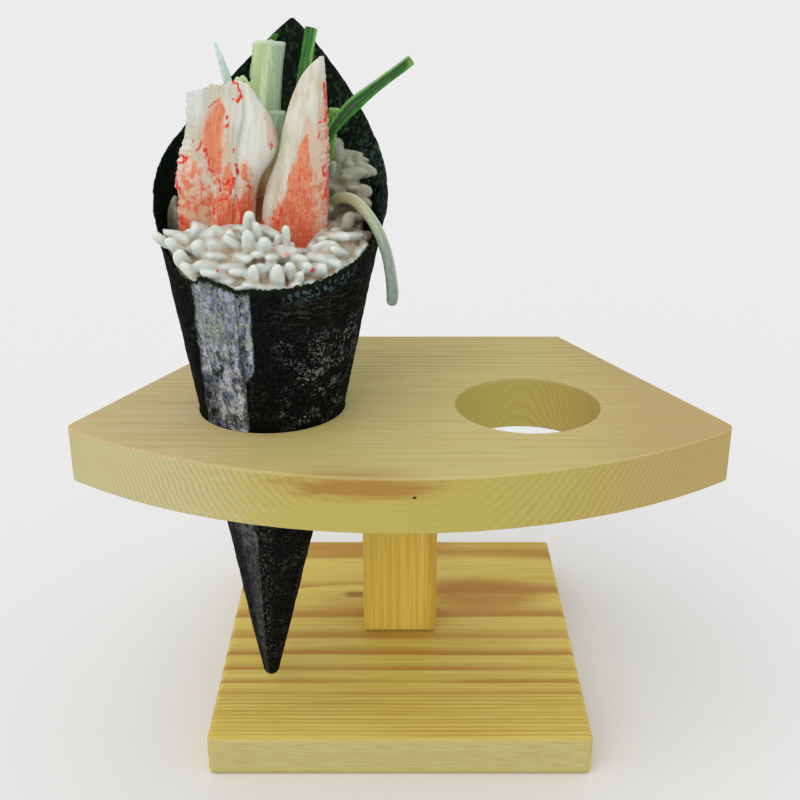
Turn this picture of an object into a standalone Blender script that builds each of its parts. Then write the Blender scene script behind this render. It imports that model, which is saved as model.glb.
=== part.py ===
"""A temaki hand roll standing in a two-hole wooden holder.

The frame is the holder's: +Z up, the origin at the middle of the base's underside, the holder's front
toward -Y. The roll has a frame of its own, an empty at the tip of the cone whose +Z runs up the cone's
axis, and every piece of the roll is modelled there in millimetres.
"""

import math

import bmesh
import bpy
from mathutils import Vector

MM = 0.001
CLEARANCE = 0.3  # millimetres left between pieces that touch

# Holder
BASE_WIDTH, BASE_DEPTH, BASE_HEIGHT = 94.0, 99.0, 11.0
POST_WIDTH, POST_DEPTH, POST_MIDDLE_Y = 20.0, 15.0, 4.5
SHELF_WIDTH, SHELF_BACK_WIDTH = 151.2, 86.5  # the width is to the corners before they are rounded
SHELF_TOP, SHELF_THICKNESS = 89.0, 13.0
SHELF_BACK_Y, SHELF_CORNER_Y, SHELF_FRONT_Y = 22.5, -40.0, -66.5
SHELF_CORNER_RADIUS, SHELF_CORNER_STEPS = 2.2, 4
SHELF_ARC_STEPS = 20
HOLE_RADIUS, HOLE_SIDES = 17.1, 48
HOLE_X, HOLE_Y = 30.0, -26.6
EDGE_ROUNDING, SHELF_ROUNDING = 1.2, 0.6

# Roll: a square sheet of nori rolled from one corner into a cone, so its slant length at any side is
# the side's length over the cosine of the angle from the square's edge
LEAN = math.radians(2.5)
TIP_TO_SHELF = 75.0  # along the roll's axis, from the tip to the top of the shelf
CONE_SLOPE, CONE_START = 0.199, 1.35  # radius gained per millimetre of height, and radius at no height
TIP_ROUNDING = 2.4  # height over which the tip is rounded
MOUTH_STARTS, MOUTH_FULL = 70.0, 120.0  # heights between which the filling pushes the mouth oval
MOUTH_OVAL = 0.08
MOUTH_SHIFT, MOUTH_FLARE = -0.6, -0.6
BULGE, BULGE_SIDE, BULGE_WIDTH = 2.6, 148.0, 30.0  # the flap stands off at the back left
BULGE_STARTS, BULGE_FULL = 112.0, 128.0
RIM_FRONT = 110.6
RIM_CORNER = 46.2  # degrees from the square's edge to its far corner, at the peak
RIM_EASE = 1.12
PEAK_SIDE = 87.5  # degrees round the cone, where +X is 0 and +Y, the back, is 90
NORI_WALL = 0.5
NORI_FLOOR = 3.0  # where the wall closes inside the tip
LAP_STEP, LAP_FULL = 0.45, 15.0  # the free edge's step, and the height from which it has all of it
LAP_SIDE = -103.0  # where the sheet's free edge lies
FLAT_FROM, FLAT_TO = -143.0, -104.0  # the flap next to the free edge lies flat
NORI_COLUMNS = 60
TIP_HEIGHTS = (0.15, 0.6, 1.4, 2.4)
NORI_HEIGHTS = (0.03, 0.1, 0.3, 0.5, 0.64, 0.74, 0.81, 0.87, 0.93, 1.0)  # parts of the height at the rim

# Rice
RICE_COLUMNS = 44
RICE_BOTTOM = 4.0
RICE_LEVEL = 119.5  # in front of the sticks
RICE_TILT = 0.11  # rise towards +X, in millimetres a millimetre
RICE_BACK_RISE, BACK_STARTS, BACK_REACH = 11.0, -2.0, 12.0
RICE_LUMP = 0.7
SHOULDER_LIP, SHOULDER_RISE, SHOULDER_REACH = 0.6, 9.0, 4.0  # the slope down to the nori's rim
RICE_WALL_PARTS = (0.0, 0.07, 0.28, 0.5, 0.64, 0.74, 0.81, 0.87, 0.93, 1.0)
RICE_TOP_PARTS = (0.95, 0.88, 0.78, 0.66, 0.52, 0.38, 0.22, 0.1)

for old in list(bpy.data.objects):
    bpy.data.objects.remove(old, do_unlink=True)
ROLL_PARTS = bpy.data.collections.new("temaki_hand_roll")
CUTTERS = bpy.data.collections.new("cutters")
bpy.context.scene.collection.children.link(ROLL_PARTS)
bpy.context.scene.collection.children.link(CUTTERS)


def material(name, colour, roughness):
    made = bpy.data.materials.new(name)
    made.use_nodes = True
    shader = made.node_tree.nodes["Principled BSDF"]
    shader.inputs["Base Color"].default_value = (*colour, 1.0)
    shader.inputs["Roughness"].default_value = roughness
    shader.inputs["Metallic"].default_value = 0.0
    return made


def add_part(name, mesh, finish, parent=None, smooth=True):
    part = bpy.data.objects.new(name, mesh)
    part.data.materials.append(finish)
    part.parent = parent
    if smooth:
        part.data.shade_smooth()
        part.data.set_sharp_from_angle(angle=math.radians(40))
    ROLL_PARTS.objects.link(part)
    return part


def add_cutter(name, mesh, parent=None):
    cutter = bpy.data.objects.new(name, mesh)
    cutter.parent = parent
    cutter.hide_render = True
    cutter.display_type = "WIRE"
    CUTTERS.objects.link(cutter)
    return cutter


def cut(part, cutter):
    boolean = part.modifiers.new("cut_" + cutter.name, "BOOLEAN")
    boolean.operation = "DIFFERENCE"
    boolean.solver = "EXACT"
    boolean.object = cutter


def bevel(part, width):
    rounding = part.modifiers.new("rounding", "BEVEL")
    rounding.width = width * MM
    rounding.segments = 2
    rounding.limit_method = "ANGLE"
    rounding.angle_limit = math.radians(45)


def box_mesh(name, width, depth, height):
    shape = bmesh.new()
    bmesh.ops.create_cube(shape, size=1.0)
    bmesh.ops.scale(shape, vec=(width * MM, depth * MM, height * MM), verts=shape.verts)
    mesh = bpy.data.meshes.new(name)
    shape.to_mesh(mesh)
    shape.free()
    return mesh


def cylinder_mesh(name, radius, height, sides):
    shape = bmesh.new()
    bmesh.ops.create_cone(
        shape, cap_ends=True, segments=sides, radius1=radius * MM, radius2=radius * MM, depth=height * MM
    )
    mesh = bpy.data.meshes.new(name)
    shape.to_mesh(mesh)
    shape.free()
    return mesh


def loft_mesh(name, rings):
    """A closed skin over rings of (x, y, z) points in millimetres; a ring of one point is a pole."""
    shape = bmesh.new()
    rows = [[shape.verts.new(Vector(point) * MM) for point in ring] for ring in rings]
    for low, high in zip(rows, rows[1:]):
        count = max(len(low), len(high))
        for i in range(count):
            j = (i + 1) % count
            if len(low) == 1:
                corners = (low[0], high[j], high[i])
            elif len(high) == 1:
                corners = (low[i], low[j], high[0])
            else:
                corners = (low[i], low[j], high[j], high[i])
            shape.faces.new(corners)
    for end in (rows[0], rows[-1]):
        if len(end) > 1:
            shape.faces.new(end)
    bmesh.ops.recalc_face_normals(shape, faces=shape.faces)
    mesh = bpy.data.meshes.new(name)
    shape.to_mesh(mesh)
    shape.free()
    return mesh


def smoothstep(value):
    value = min(1.0, max(0.0, value))
    return value * value * (3.0 - 2.0 * value)


# ---- holder -------------------------------------------------------------------------------------


def rounded_corner(corner, before, after):
    """Points that round a corner of the plan between the directions towards its two neighbours."""
    start = corner + before.normalized() * SHELF_CORNER_RADIUS
    end = corner + after.normalized() * SHELF_CORNER_RADIUS
    steps = [i / SHELF_CORNER_STEPS for i in range(SHELF_CORNER_STEPS + 1)]
    return [start * (1 - t) ** 2 + corner * 2 * t * (1 - t) + end * t**2 for t in steps]


def shelf_outline():
    """The shelf from above: a straight back, slanted sides and a bowed front, with rounded corners."""
    bow = SHELF_CORNER_Y - SHELF_FRONT_Y
    half_front = SHELF_WIDTH / 2
    arc_radius = (half_front**2 + bow**2) / (2 * bow)
    arc_centre_y = SHELF_FRONT_Y + arc_radius
    reach = math.asin(half_front / arc_radius)
    rear = Vector((SHELF_BACK_WIDTH / 2, SHELF_BACK_Y))
    front = Vector((half_front, SHELF_CORNER_Y))
    along_bow = Vector((-math.cos(reach), -math.sin(reach)))
    right = [rear] + rounded_corner(front, rear - front, along_bow)
    widest = reach - SHELF_CORNER_RADIUS / arc_radius
    bowed = []
    for i in range(1, SHELF_ARC_STEPS):
        angle = widest * (1 - 2 * i / SHELF_ARC_STEPS)
        bowed.append(Vector((arc_radius * math.sin(angle), arc_centre_y - arc_radius * math.cos(angle))))
    left = [Vector((-point.x, point.y)) for point in reversed(right)]
    return right + bowed + left


def make_shelf(finish):
    plan = bpy.data.curves.new("shelf_plan", "CURVE")
    plan.dimensions = "2D"
    plan.fill_mode = "BOTH"
    plan.extrude = SHELF_THICKNESS * MM / 2
    outline = shelf_outline()
    spline = plan.splines.new("POLY")
    spline.points.add(len(outline) - 1)
    for point, (x, y) in zip(spline.points, outline):
        point.co = (x * MM, y * MM, 0.0, 1.0)
    spline.use_cyclic_u = True
    board = bpy.data.objects.new("shelf_plan", plan)
    bpy.context.scene.collection.objects.link(board)
    graph = bpy.context.evaluated_depsgraph_get()
    mesh = bpy.data.meshes.new_from_object(board.evaluated_get(graph))
    bpy.data.objects.remove(board)
    shape = bmesh.new()
    shape.from_mesh(mesh)
    bmesh.ops.remove_doubles(shape, verts=shape.verts, dist=0.01 * MM)
    bmesh.ops.recalc_face_normals(shape, faces=shape.faces)
    shape.to_mesh(mesh)
    shape.free()
    mesh.materials.clear()
    shelf = add_part("holder_shelf", mesh, finish)
    shelf.location.z = (SHELF_TOP - SHELF_THICKNESS / 2) * MM
    for side, name in ((-1, "hole_left"), (1, "hole_right")):
        hole = add_cutter(name, cylinder_mesh(name, HOLE_RADIUS, 2 * SHELF_THICKNESS, HOLE_SIDES))
        hole.location = (side * HOLE_X * MM, HOLE_Y * MM, shelf.location.z)
        cut(shelf, hole)
    bevel(shelf, SHELF_ROUNDING)


def make_holder():
    wood = material("pine", (0.52, 0.38, 0.18), 0.5)
    base = add_part("holder_base", box_mesh("base", BASE_WIDTH, BASE_DEPTH, BASE_HEIGHT), wood)
    base.location.z = BASE_HEIGHT * MM / 2
    bevel(base, EDGE_ROUNDING)
    shelf_underside = SHELF_TOP - SHELF_THICKNESS
    post_height = shelf_underside - BASE_HEIGHT - 2 * CLEARANCE
    post = add_part("holder_post", box_mesh("post", POST_WIDTH, POST_DEPTH, post_height), wood)
    post.location = (0.0, POST_MIDDLE_Y * MM, (BASE_HEIGHT + shelf_underside) * MM / 2)
    bevel(post, SHELF_ROUNDING)
    make_shelf(wood)


# ---- nori ---------------------------------------------------------------------------------------


def rim_height(side):
    """Height of the sheet's edge along the axis, at a side in degrees round the cone."""
    away = abs((side - PEAK_SIDE + 180.0) % 360.0 - 180.0) / 180.0
    return RIM_FRONT / math.cos(math.radians(RIM_CORNER * (1.0 - away**RIM_EASE)))


def wrap_point(side, height, outward=0.0):
    """A point of the wrap's middle surface, moved outward by so many millimetres."""
    radius = CONE_SLOPE * max(height, TIP_ROUNDING) + CONE_START
    if height < TIP_ROUNDING:
        radius *= math.sqrt(1.0 - (1.0 - height / TIP_ROUNDING) ** 2)
    middle, half = (FLAT_FROM + FLAT_TO) / 2, (FLAT_TO - FLAT_FROM) / 2
    if abs(side - middle) < half:
        radius *= math.cos(math.radians(half)) / math.cos(math.radians(side - middle))
    open_mouth = smoothstep((height - MOUTH_STARTS) / (MOUTH_FULL - MOUTH_STARTS))
    from_bulge = ((side - BULGE_SIDE + 180.0) % 360.0 - 180.0) / BULGE_WIDTH
    stand_off = smoothstep((height - BULGE_STARTS) / (BULGE_FULL - BULGE_STARTS))
    radius += outward + MOUTH_FLARE * open_mouth + BULGE * stand_off * math.exp(-(from_bulge**2))
    angle = math.radians(side)
    x = radius * math.cos(angle) + MOUTH_SHIFT * open_mouth
    y = radius * math.sin(angle) * (1.0 + MOUTH_OVAL * open_mouth)
    return (x, y, height)


def lap_rise(side, height):
    """How far the rolled sheet stands out, growing round the cone up to its free edge."""
    turned = ((LAP_SIDE - side) % 360.0) / 360.0
    return LAP_STEP * (1.0 - turned) * min(1.0, height / LAP_FULL)


def make_nori(roll):
    finish = material("toasted_nori", (0.012, 0.016, 0.012), 0.45)
    edge_gap = 0.8
    sides = [
        -180.0 + (LAP_SIDE + 180.0 + edge_gap + i * (360.0 - 2 * edge_gap) / (NORI_COLUMNS - 1)) % 360.0
        for i in range(NORI_COLUMNS)
    ]
    outer = [[wrap_point(s, height, lap_rise(s, height)) for s in sides] for height in TIP_HEIGHTS]
    for part in NORI_HEIGHTS:
        outer.append([wrap_point(s, rim_height(s) * part, lap_rise(s, rim_height(s) * part)) for s in sides])
    inner = [
        [wrap_point(s, NORI_FLOOR + (rim_height(s) - NORI_FLOOR) * part, -NORI_WALL) for s in sides]
        for part in reversed((0.0,) + NORI_HEIGHTS)
    ]
    rings = [[(0.0, 0.0, 0.0)]] + outer + inner + [[(0.0, 0.0, NORI_FLOOR)]]
    add_part("nori", loft_mesh("nori", rings), finish, roll)


# ---- filling ------------------------------------------------------------------------------------


def rounded_section(x, y, z, half_width, half_depth, squareness=0.6, grow=0.0, steps=20):
    """A level ring between an ellipse (squareness 1) and a rectangle (squareness near 0)."""
    ring = []
    for i in range(steps):
        angle = 2 * math.pi * (i + 0.5) / steps
        across, along = math.cos(angle), math.sin(angle)
        ring.append(
            (
                x + (half_width + grow) * math.copysign(abs(across) ** squareness, across),
                y + (half_depth + grow) * math.copysign(abs(along) ** squareness, along),
                z,
            )
        )
    return ring


def stick_rings(stations, squareness, grow, steps=20, front=None):
    """Rings for an upright stick from (height, left, right, middle_y, half_depth) stations."""
    rings = []
    last = len(stations) - 1
    for i, (height, left, right, middle, depth) in enumerate(stations):
        height += grow if i == last else (-grow if i == 0 else 0.0)
        x, half = (left + right) / 2, (right - left) / 2
        ring = rounded_section(x, middle, height, half, depth, squareness, grow, steps)
        rings.append([front(point, x, half, middle) if front else point for point in ring])
    return rings


def path_rings(path, half_width, half_depth, squareness, grow, steps=8):
    """Rings square to a path in a plane of constant y, for a bent strip."""
    rings = []
    count = len(path)
    for i, point in enumerate(path):
        before, after = Vector(path[max(0, i - 1)]), Vector(path[min(count - 1, i + 1)])
        ahead = (after - before).normalized()
        across = Vector((ahead.z, 0.0, -ahead.x)).normalized()
        centre = Vector(point)
        if i in (0, count - 1):
            centre += ahead * (grow if i else -grow)
        ring = rounded_section(0.0, 0.0, 0.0, half_width, half_depth, squareness, grow, steps)
        rings.append([tuple(centre + across * x + Vector((0, 1, 0)) * y) for x, y, _ in ring])
    return rings


CRAB_LEFT = (
    (72.0, -9.5, -3.5, -1.0, 3.5),
    (84.0, -12.5, -3.4, -1.5, 4.0),
    (96.0, -15.5, -3.4, -2.0, 4.3),
    (108.0, -18.4, -3.4, -2.0, 4.5),
    (118.0, -20.3, -3.4, -2.0, 4.5),
    (125.0, -20.8, -3.2, -2.0, 4.5),
    (131.0, -20.4, -1.6, -2.0, 4.5),
    (137.0, -19.8, 0.6, -2.0, 4.4),
    (141.0, -18.8, -0.1, -2.0, 4.2),
    (145.0, -18.5, -1.8, -2.0, 3.8),
    (148.0, -18.2, -4.4, -2.0, 2.9),
    (149.4, -17.4, -6.2, -2.0, 1.8),
)

CRAB_RIGHT = (
    (78.0, 1.5, 9.5, -2.5, 3.2),
    (92.0, -0.6, 10.8, -3.0, 4.0),
    (106.0, -1.8, 12.0, -3.0, 4.4),
    (119.0, -2.4, 12.2, -3.0, 4.5),
    (124.5, -2.2, 12.2, -3.0, 4.5),
    (130.0, -0.5, 12.1, -3.0, 4.4),
    (134.5, 2.1, 12.0, -3.2, 4.0),
    (140.0, 3.4, 11.9, -3.4, 3.6),
    (146.0, 4.5, 11.6, -3.6, 3.0),
    (151.0, 6.8, 11.1, -3.8, 2.2),
    (154.0, 8.8, 10.6, -4.0, 1.1),
    (155.5, 9.9, 10.4, -4.0, 0.5),
)

CUCUMBER = (
    (94.0, -6.4, 0.2, 12.0, 2.9),
    (125.0, -6.8, 0.1, 12.0, 3.0),
    (141.5, -6.8, 0.2, 12.0, 3.0),
    (156.2, -5.6, 1.2, 12.2, 2.9),
)

CUCUMBER_SHORT = (
    (102.0, -3.2, 0.8, 5.6, 1.7),
    (124.0, -3.4, 0.8, 5.6, 1.8),
    (142.0, -1.6, 1.9, 5.6, 1.8),
)

PEEL_BACK = ((-1.3, 19.3, 108.0), (1.3, 19.3, 125.0), (4.6, 19.6, 147.0), (6.4, 20.0, 158.8))
PEEL_LONG = (
    (7.6, 6.6, 112.0),
    (9.2, 6.4, 126.0),
    (11.4, 6.2, 135.4),
    (13.2, 6.0, 139.7),
    (15.6, 6.0, 142.8),
    (18.6, 6.0, 145.6),
    (23.5, 6.0, 149.6),
    (28.6, 6.0, 154.5),
)
PEEL_SHORT = ((10.6, 10.6, 120.0), (11.6, 10.4, 134.0), (12.4, 10.2, 142.4))
SHRED = (
    (-8.0, 5.4, 118.0),
    (-8.8, 5.2, 134.0),
    (-10.2, 4.6, 147.0),
    (-11.3, 4.2, 151.0),
    (-12.3, 4.0, 154.2),
    (-13.0, 4.0, 156.4),
)
SHRED_RADII = (1.0, 1.0, 0.95, 0.75, 0.5, 0.25)
STRAND = (
    (10.2, 4.4, 117.5),
    (12.4, 2.6, 122.6),
    (15.6, -1.6, 125.1),
    (18.6, -5.0, 124.6),
    (21.6, -8.0, 121.9),
    (24.0, -10.6, 118.2),
    (26.0, -12.2, 113.0),
    (27.0, -12.6, 108.0),
    (27.2, -12.6, 104.6),
)
STRAND_RADII = (1.0, 1.05, 1.1, 1.15, 1.15, 1.15, 1.2, 1.2, 0.9)


def grooved_front(point, middle_x, half, middle_y):
    """The slab's front has a lengthwise fold right of its middle."""
    x, y, z = point
    if y > middle_y:
        return point
    across = (x - middle_x) / half
    fold = math.exp(-(((across - 0.3) / 0.13) ** 2)) * smoothstep((z - 112.0) / 10.0)
    return (x, y + 1.3 * fold, z)


def ridged_front(point, middle_x, half, middle_y):
    """The spear's front rises to a ridge, as a stick cut on the slant does."""
    x, y, z = point
    if y > middle_y:
        return point
    across = abs((x - middle_x) / half + 0.15) / 1.15
    return (x, middle_y + (y - middle_y) * (1.12 - 0.55 * across), z)


def rod_mesh(name, points, radii, grow):
    """A round tapered rod bent through points, as a mesh."""
    route = bpy.data.curves.new(name, "CURVE")
    route.dimensions = "3D"
    route.bevel_depth = MM
    route.bevel_resolution = 2
    route.resolution_u = 3
    route.use_fill_caps = True
    spline = route.splines.new("BEZIER")
    spline.bezier_points.add(len(points) - 1)
    for knot, point, radius in zip(spline.bezier_points, points, radii):
        knot.co = Vector(point) * MM
        knot.radius = radius + grow
        knot.handle_left_type = knot.handle_right_type = "AUTO"
    guide = bpy.data.objects.new(name, route)
    bpy.context.scene.collection.objects.link(guide)
    graph = bpy.context.evaluated_depsgraph_get()
    mesh = bpy.data.meshes.new_from_object(guide.evaluated_get(graph))
    bpy.data.objects.remove(guide)
    shape = bmesh.new()
    shape.from_mesh(mesh)
    bmesh.ops.remove_doubles(shape, verts=shape.verts, dist=0.01 * MM)
    bmesh.ops.recalc_face_normals(shape, faces=shape.faces)
    shape.to_mesh(mesh)
    shape.free()
    mesh.materials.clear()
    return mesh


def filling_mesh(name, grow):
    """One piece of the filling, or with grow the same shape swollen, to cut the rice round it."""
    if name == "crab_stick_left":
        return loft_mesh(name, stick_rings(CRAB_LEFT, 0.55, grow, 28, grooved_front))
    if name == "crab_stick_right":
        return loft_mesh(name, stick_rings(CRAB_RIGHT, 0.7, grow, 24, ridged_front))
    if name == "cucumber_stick":
        return loft_mesh(name, stick_rings(CUCUMBER, 0.3, grow, 20))
    if name == "cucumber_stick_short":
        return loft_mesh(name, stick_rings(CUCUMBER_SHORT, 0.35, grow, 16))
    if name == "green_peel_back":
        return loft_mesh(name, path_rings(PEEL_BACK, 1.4, 0.6, 0.3, grow, 12))
    if name == "green_peel_long":
        return loft_mesh(name, path_rings(PEEL_LONG, 1.3, 1.1, 0.35, grow, 12))
    if name == "green_peel_short":
        return loft_mesh(name, path_rings(PEEL_SHORT, 1.2, 1.0, 0.35, grow, 12))
    if name == "daikon_shred":
        return rod_mesh(name, SHRED, SHRED_RADII, grow)
    return rod_mesh(name, STRAND, STRAND_RADII, grow)


FILLING_FINISHES = {
    "crab_stick_left": ("crab_stick", (0.62, 0.42, 0.32), 0.4),
    "crab_stick_right": ("crab_stick", (0.62, 0.42, 0.32), 0.4),
    "cucumber_stick": ("cucumber_flesh", (0.34, 0.46, 0.26), 0.3),
    "cucumber_stick_short": ("cucumber_flesh", (0.34, 0.46, 0.26), 0.3),
    "green_peel_back": ("cucumber_peel", (0.03, 0.2, 0.012), 0.35),
    "green_peel_long": ("cucumber_peel", (0.03, 0.2, 0.012), 0.35),
    "green_peel_short": ("cucumber_peel", (0.03, 0.2, 0.012), 0.35),
    "daikon_shred": ("daikon", (0.5, 0.62, 0.55), 0.25),
    "daikon_strand": ("daikon", (0.5, 0.62, 0.55), 0.25),
}


def heap_height(x, y, to_wall, rim):
    """Top of the rice: higher at the back, lower at the front, where it slopes down to the rim."""
    level = RICE_LEVEL + RICE_TILT * x + RICE_BACK_RISE * smoothstep((y - BACK_STARTS) / BACK_REACH)
    level += RICE_LUMP * (math.sin(0.8 * x + 0.5) * math.cos(0.9 * y) + math.sin(0.55 * y - 0.7 * x))
    shoulder = rim + SHOULDER_LIP + SHOULDER_RISE * (1.0 - math.exp(-to_wall / SHOULDER_REACH))
    return min(level, shoulder)


def make_rice(roll):
    finish = material("sushi_rice", (0.55, 0.55, 0.48), 0.35)
    sides = [360.0 * i / RICE_COLUMNS - 180.0 for i in range(RICE_COLUMNS)]
    inward = -(NORI_WALL + CLEARANCE)
    edges = []
    for side in sides:
        rim = rim_height(side)
        x, y, _ = wrap_point(side, rim, inward)
        edges.append((side, rim, heap_height(x, y, 0.0, rim)))
    rings = [[(0.0, 0.0, RICE_BOTTOM - 0.4)]]
    for part in RICE_WALL_PARTS:
        rings.append(
            [wrap_point(side, RICE_BOTTOM + (edge - RICE_BOTTOM) * part, inward) for side, _, edge in edges]
        )
    for part in RICE_TOP_PARTS:
        ring = []
        for side, rim, edge in edges:
            wall_x, wall_y, _ = wrap_point(side, edge, inward)
            x, y = wall_x * part, wall_y * part
            to_wall = math.hypot(wall_x - x, wall_y - y)
            ring.append((x, y, heap_height(x, y, to_wall, rim)))
        rings.append(ring)
    rings.append([(0.0, 0.0, RICE_LEVEL)])
    rice = add_part("rice", loft_mesh("rice", rings), finish, roll)
    for name in FILLING_FINISHES:
        cut(rice, add_cutter("pocket_" + name, filling_mesh(name, CLEARANCE), roll))


def make_filling(roll):
    finishes = {}
    for name, (finish, colour, roughness) in FILLING_FINISHES.items():
        if finish not in finishes:
            finishes[finish] = material(finish, colour, roughness)
        add_part(name, filling_mesh(name, 0.0), finishes[finish], roll)


def make_roll():
    roll = bpy.data.objects.new("roll_frame", None)
    roll.rotation_euler.y = LEAN
    along = Vector((math.sin(LEAN), 0.0, math.cos(LEAN))) * TIP_TO_SHELF
    roll.location = (Vector((-HOLE_X, HOLE_Y, SHELF_TOP)) - along) * MM
    ROLL_PARTS.objects.link(roll)
    make_nori(roll)
    make_rice(roll)
    make_filling(roll)


make_holder()
make_roll()
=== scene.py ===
# %% [markdown]
# # A temaki hand roll in its wooden stand
#
# A temaki is a cone of toasted seaweed, rolled by hand round rice and long strips of filling. It can't stand
# by itself, so shops serve it in a small wooden stand with round holes. This lesson finishes a imported model
# of one: the model fixes every size, and each cell below adds what the eye looks for, such as the crinkled
# sheet, single grains of rice, the fibres of the crab sticks and the year rings of the pine.
#
# First the imported model is loaded.

# %% Load the imported model
import math

import bmesh
import bpy
import numpy
from mathutils import Matrix, Vector, noise


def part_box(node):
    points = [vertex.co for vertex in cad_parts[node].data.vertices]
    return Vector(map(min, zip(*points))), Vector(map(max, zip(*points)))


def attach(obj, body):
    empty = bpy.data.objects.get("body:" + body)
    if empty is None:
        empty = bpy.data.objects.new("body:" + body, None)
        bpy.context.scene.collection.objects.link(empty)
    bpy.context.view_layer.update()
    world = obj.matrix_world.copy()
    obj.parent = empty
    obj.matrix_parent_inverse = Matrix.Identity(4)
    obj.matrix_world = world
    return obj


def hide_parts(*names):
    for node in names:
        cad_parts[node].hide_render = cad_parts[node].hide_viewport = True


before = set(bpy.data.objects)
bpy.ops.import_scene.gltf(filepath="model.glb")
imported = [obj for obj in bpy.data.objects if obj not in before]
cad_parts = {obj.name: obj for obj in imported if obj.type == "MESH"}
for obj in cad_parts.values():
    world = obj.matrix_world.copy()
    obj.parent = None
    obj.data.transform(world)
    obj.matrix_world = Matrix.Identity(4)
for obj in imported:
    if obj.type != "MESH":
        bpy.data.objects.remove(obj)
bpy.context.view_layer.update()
MM = 0.001
NOISE_SEED = 5
noise.seed_set(NOISE_SEED)  # without it, the unevenness of grains and strips would start from the clock
print("nodes:", ", ".join(sorted(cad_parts)))

# %% [markdown]
# ## The roll's own frame
#
# The stand is square to the world, but the roll leans a little in its hole. Every piece of the roll is easier
# to think about upright, in millimetres above the tip of its cone, so the pieces are worked out there and
# `place` carries each point over. Pieces that are already finished then sit at the origin, like the nodes.

# %% From the roll's millimetres to the world
HOLE_X, HOLE_Y = -30.0, -26.6
LEAN = math.radians(2.5)
TIP_TO_SHELF = 75.0
SHELF_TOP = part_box("holder_shelf")[1][2] / MM
HOLE = Vector((HOLE_X, HOLE_Y, SHELF_TOP))
TIP = HOLE - Matrix.Rotation(LEAN, 3, "Y") @ Vector((0.0, 0.0, TIP_TO_SHELF))
TO_WORLD = Matrix.Scale(MM, 4) @ Matrix.Translation(TIP) @ Matrix.Rotation(LEAN, 4, "Y")


def place(mesh):
    """Carry a mesh from the roll's millimetres into the world's metres."""
    mesh.transform(TO_WORLD)
    return mesh


print("tip of the cone at", [round(value, 1) for value in TIP], "mm")

# %% [markdown]
# ## Nodes as arithmetic
#
# Both the shaders and the shapes below are node trees. Drawn by hand they are webs of Math nodes, but in a
# script they read best as plain sums. `Wire` stands for one output of a node: adding two wires adds a Math
# node, and `node` makes any other kind from the values or wires of its sockets and its settings.

# %% A wire that understands arithmetic
class Wire:
    """One output in a node tree, usable in Python expressions."""

    def __init__(self, tree, socket=None):
        self.tree = tree
        self.socket = socket

    def __getitem__(self, name):
        return Wire(self.tree, next(s for s in self.socket.node.outputs if s.name == name))

    def __abs__(self):
        return self.math("ABSOLUTE")

    def node(self, kind, inputs=None, **settings):
        """Make a node: its settings come first, because they decide which sockets it shows."""
        made = self.tree.nodes.new(kind)
        for name, value in settings.items():
            setattr(made, name, value)
        for key, value in (inputs or {}).items():
            if isinstance(key, int):
                socket = made.inputs[key]
            else:
                socket = next(s for s in made.inputs if s.name == key and s.enabled)
            if isinstance(value, Wire):
                self.tree.links.new(value.socket, socket)
            else:
                socket.default_value = value
        return Wire(self.tree, next((s for s in made.outputs if s.enabled), None))

    def math(self, operation, *values):
        """A Math node; without values it works on this wire."""
        return self.node("ShaderNodeMath", dict(enumerate(values or (self,))), operation=operation)

    def vector(self, operation, *values):
        return self.node("ShaderNodeVectorMath", dict(enumerate(values)), operation=operation)

    def at_most(self, limit):
        return self.math("MINIMUM", self, limit)

    def at_least(self, limit):
        return self.math("MAXIMUM", self, limit)


SIGNS = {"add": "ADD", "sub": "SUBTRACT", "mul": "MULTIPLY", "truediv": "DIVIDE", "pow": "POWER"}
for sign, operation in SIGNS.items():  # a wire may stand before or after the sign
    setattr(Wire, f"__{sign}__", lambda self, other, op=operation: self.math(op, self, other))
    setattr(Wire, f"__r{sign}__", lambda self, other, op=operation: self.math(op, other, self))
print("Wire understands", ", ".join(SIGNS))

# %% [markdown]
# ## Helpers for patterns
#
# Food and wood are never one colour. Nearly every pattern here is soft noise, stretched to the size of the
# thing it shows and then cut to an edge. Sizes are given in millimetres, the way a maker would say them.
# Colours are given as a screen shows them, and lie over one another like coats of glaze.

# %% Noise, edges and colours
def tint(colour):
    """Red, green and blue as a screen shows them, 0 to 255, in the linear values of a shader."""
    levels = [value / 255 for value in colour]
    return tuple(v / 12.92 if v <= 0.04045 else ((v + 0.055) / 1.055) ** 2.4 for v in levels) + (1.0,)


def mottle(at, size, detail, seed, twist=0.0):
    """Soft noise from 0 to 1 whose blots are about so many millimetres across in x, y and z."""
    fitted = at.vector("MULTIPLY", at, tuple(1.0 / value for value in size))
    values = {"Vector": fitted, "W": seed, "Scale": 1.0, "Detail": detail, "Distortion": twist}
    return fitted.node("ShaderNodeTexNoise", values, noise_dimensions="4D")


def edge(value, low, high, start=0.0, end=1.0):
    """A soft step from start to end while the value goes from low to high."""
    limits = {"Value": value, "From Min": low, "From Max": high, "To Min": start, "To Max": end}
    return value.node("ShaderNodeMapRange", limits, interpolation_type="SMOOTHSTEP")


def blend(below, above, share):
    """A colour between two, by a share from 0 to 1."""
    pair = [colour if isinstance(colour, Wire) else tint(colour) for colour in (below, above)]
    return share.node("ShaderNodeMix", {"Factor": share, "A": pair[0], "B": pair[1]}, data_type="RGBA")


def coats(colour, *layers):
    """Lay more colours over one, each by its share."""
    for above, share in layers:
        colour = blend(colour, above, share)
    return colour


def parts(vector):
    """The x, y and z of a vector wire."""
    split = vector.node("ShaderNodeSeparateXYZ", {0: vector})
    return split["X"], split["Y"], split["Z"]


def together(x, y, z=0.0):
    """A vector wire from its x, y and z."""
    return x.node("ShaderNodeCombineXYZ", {0: x, 1: y, 2: z})


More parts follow.
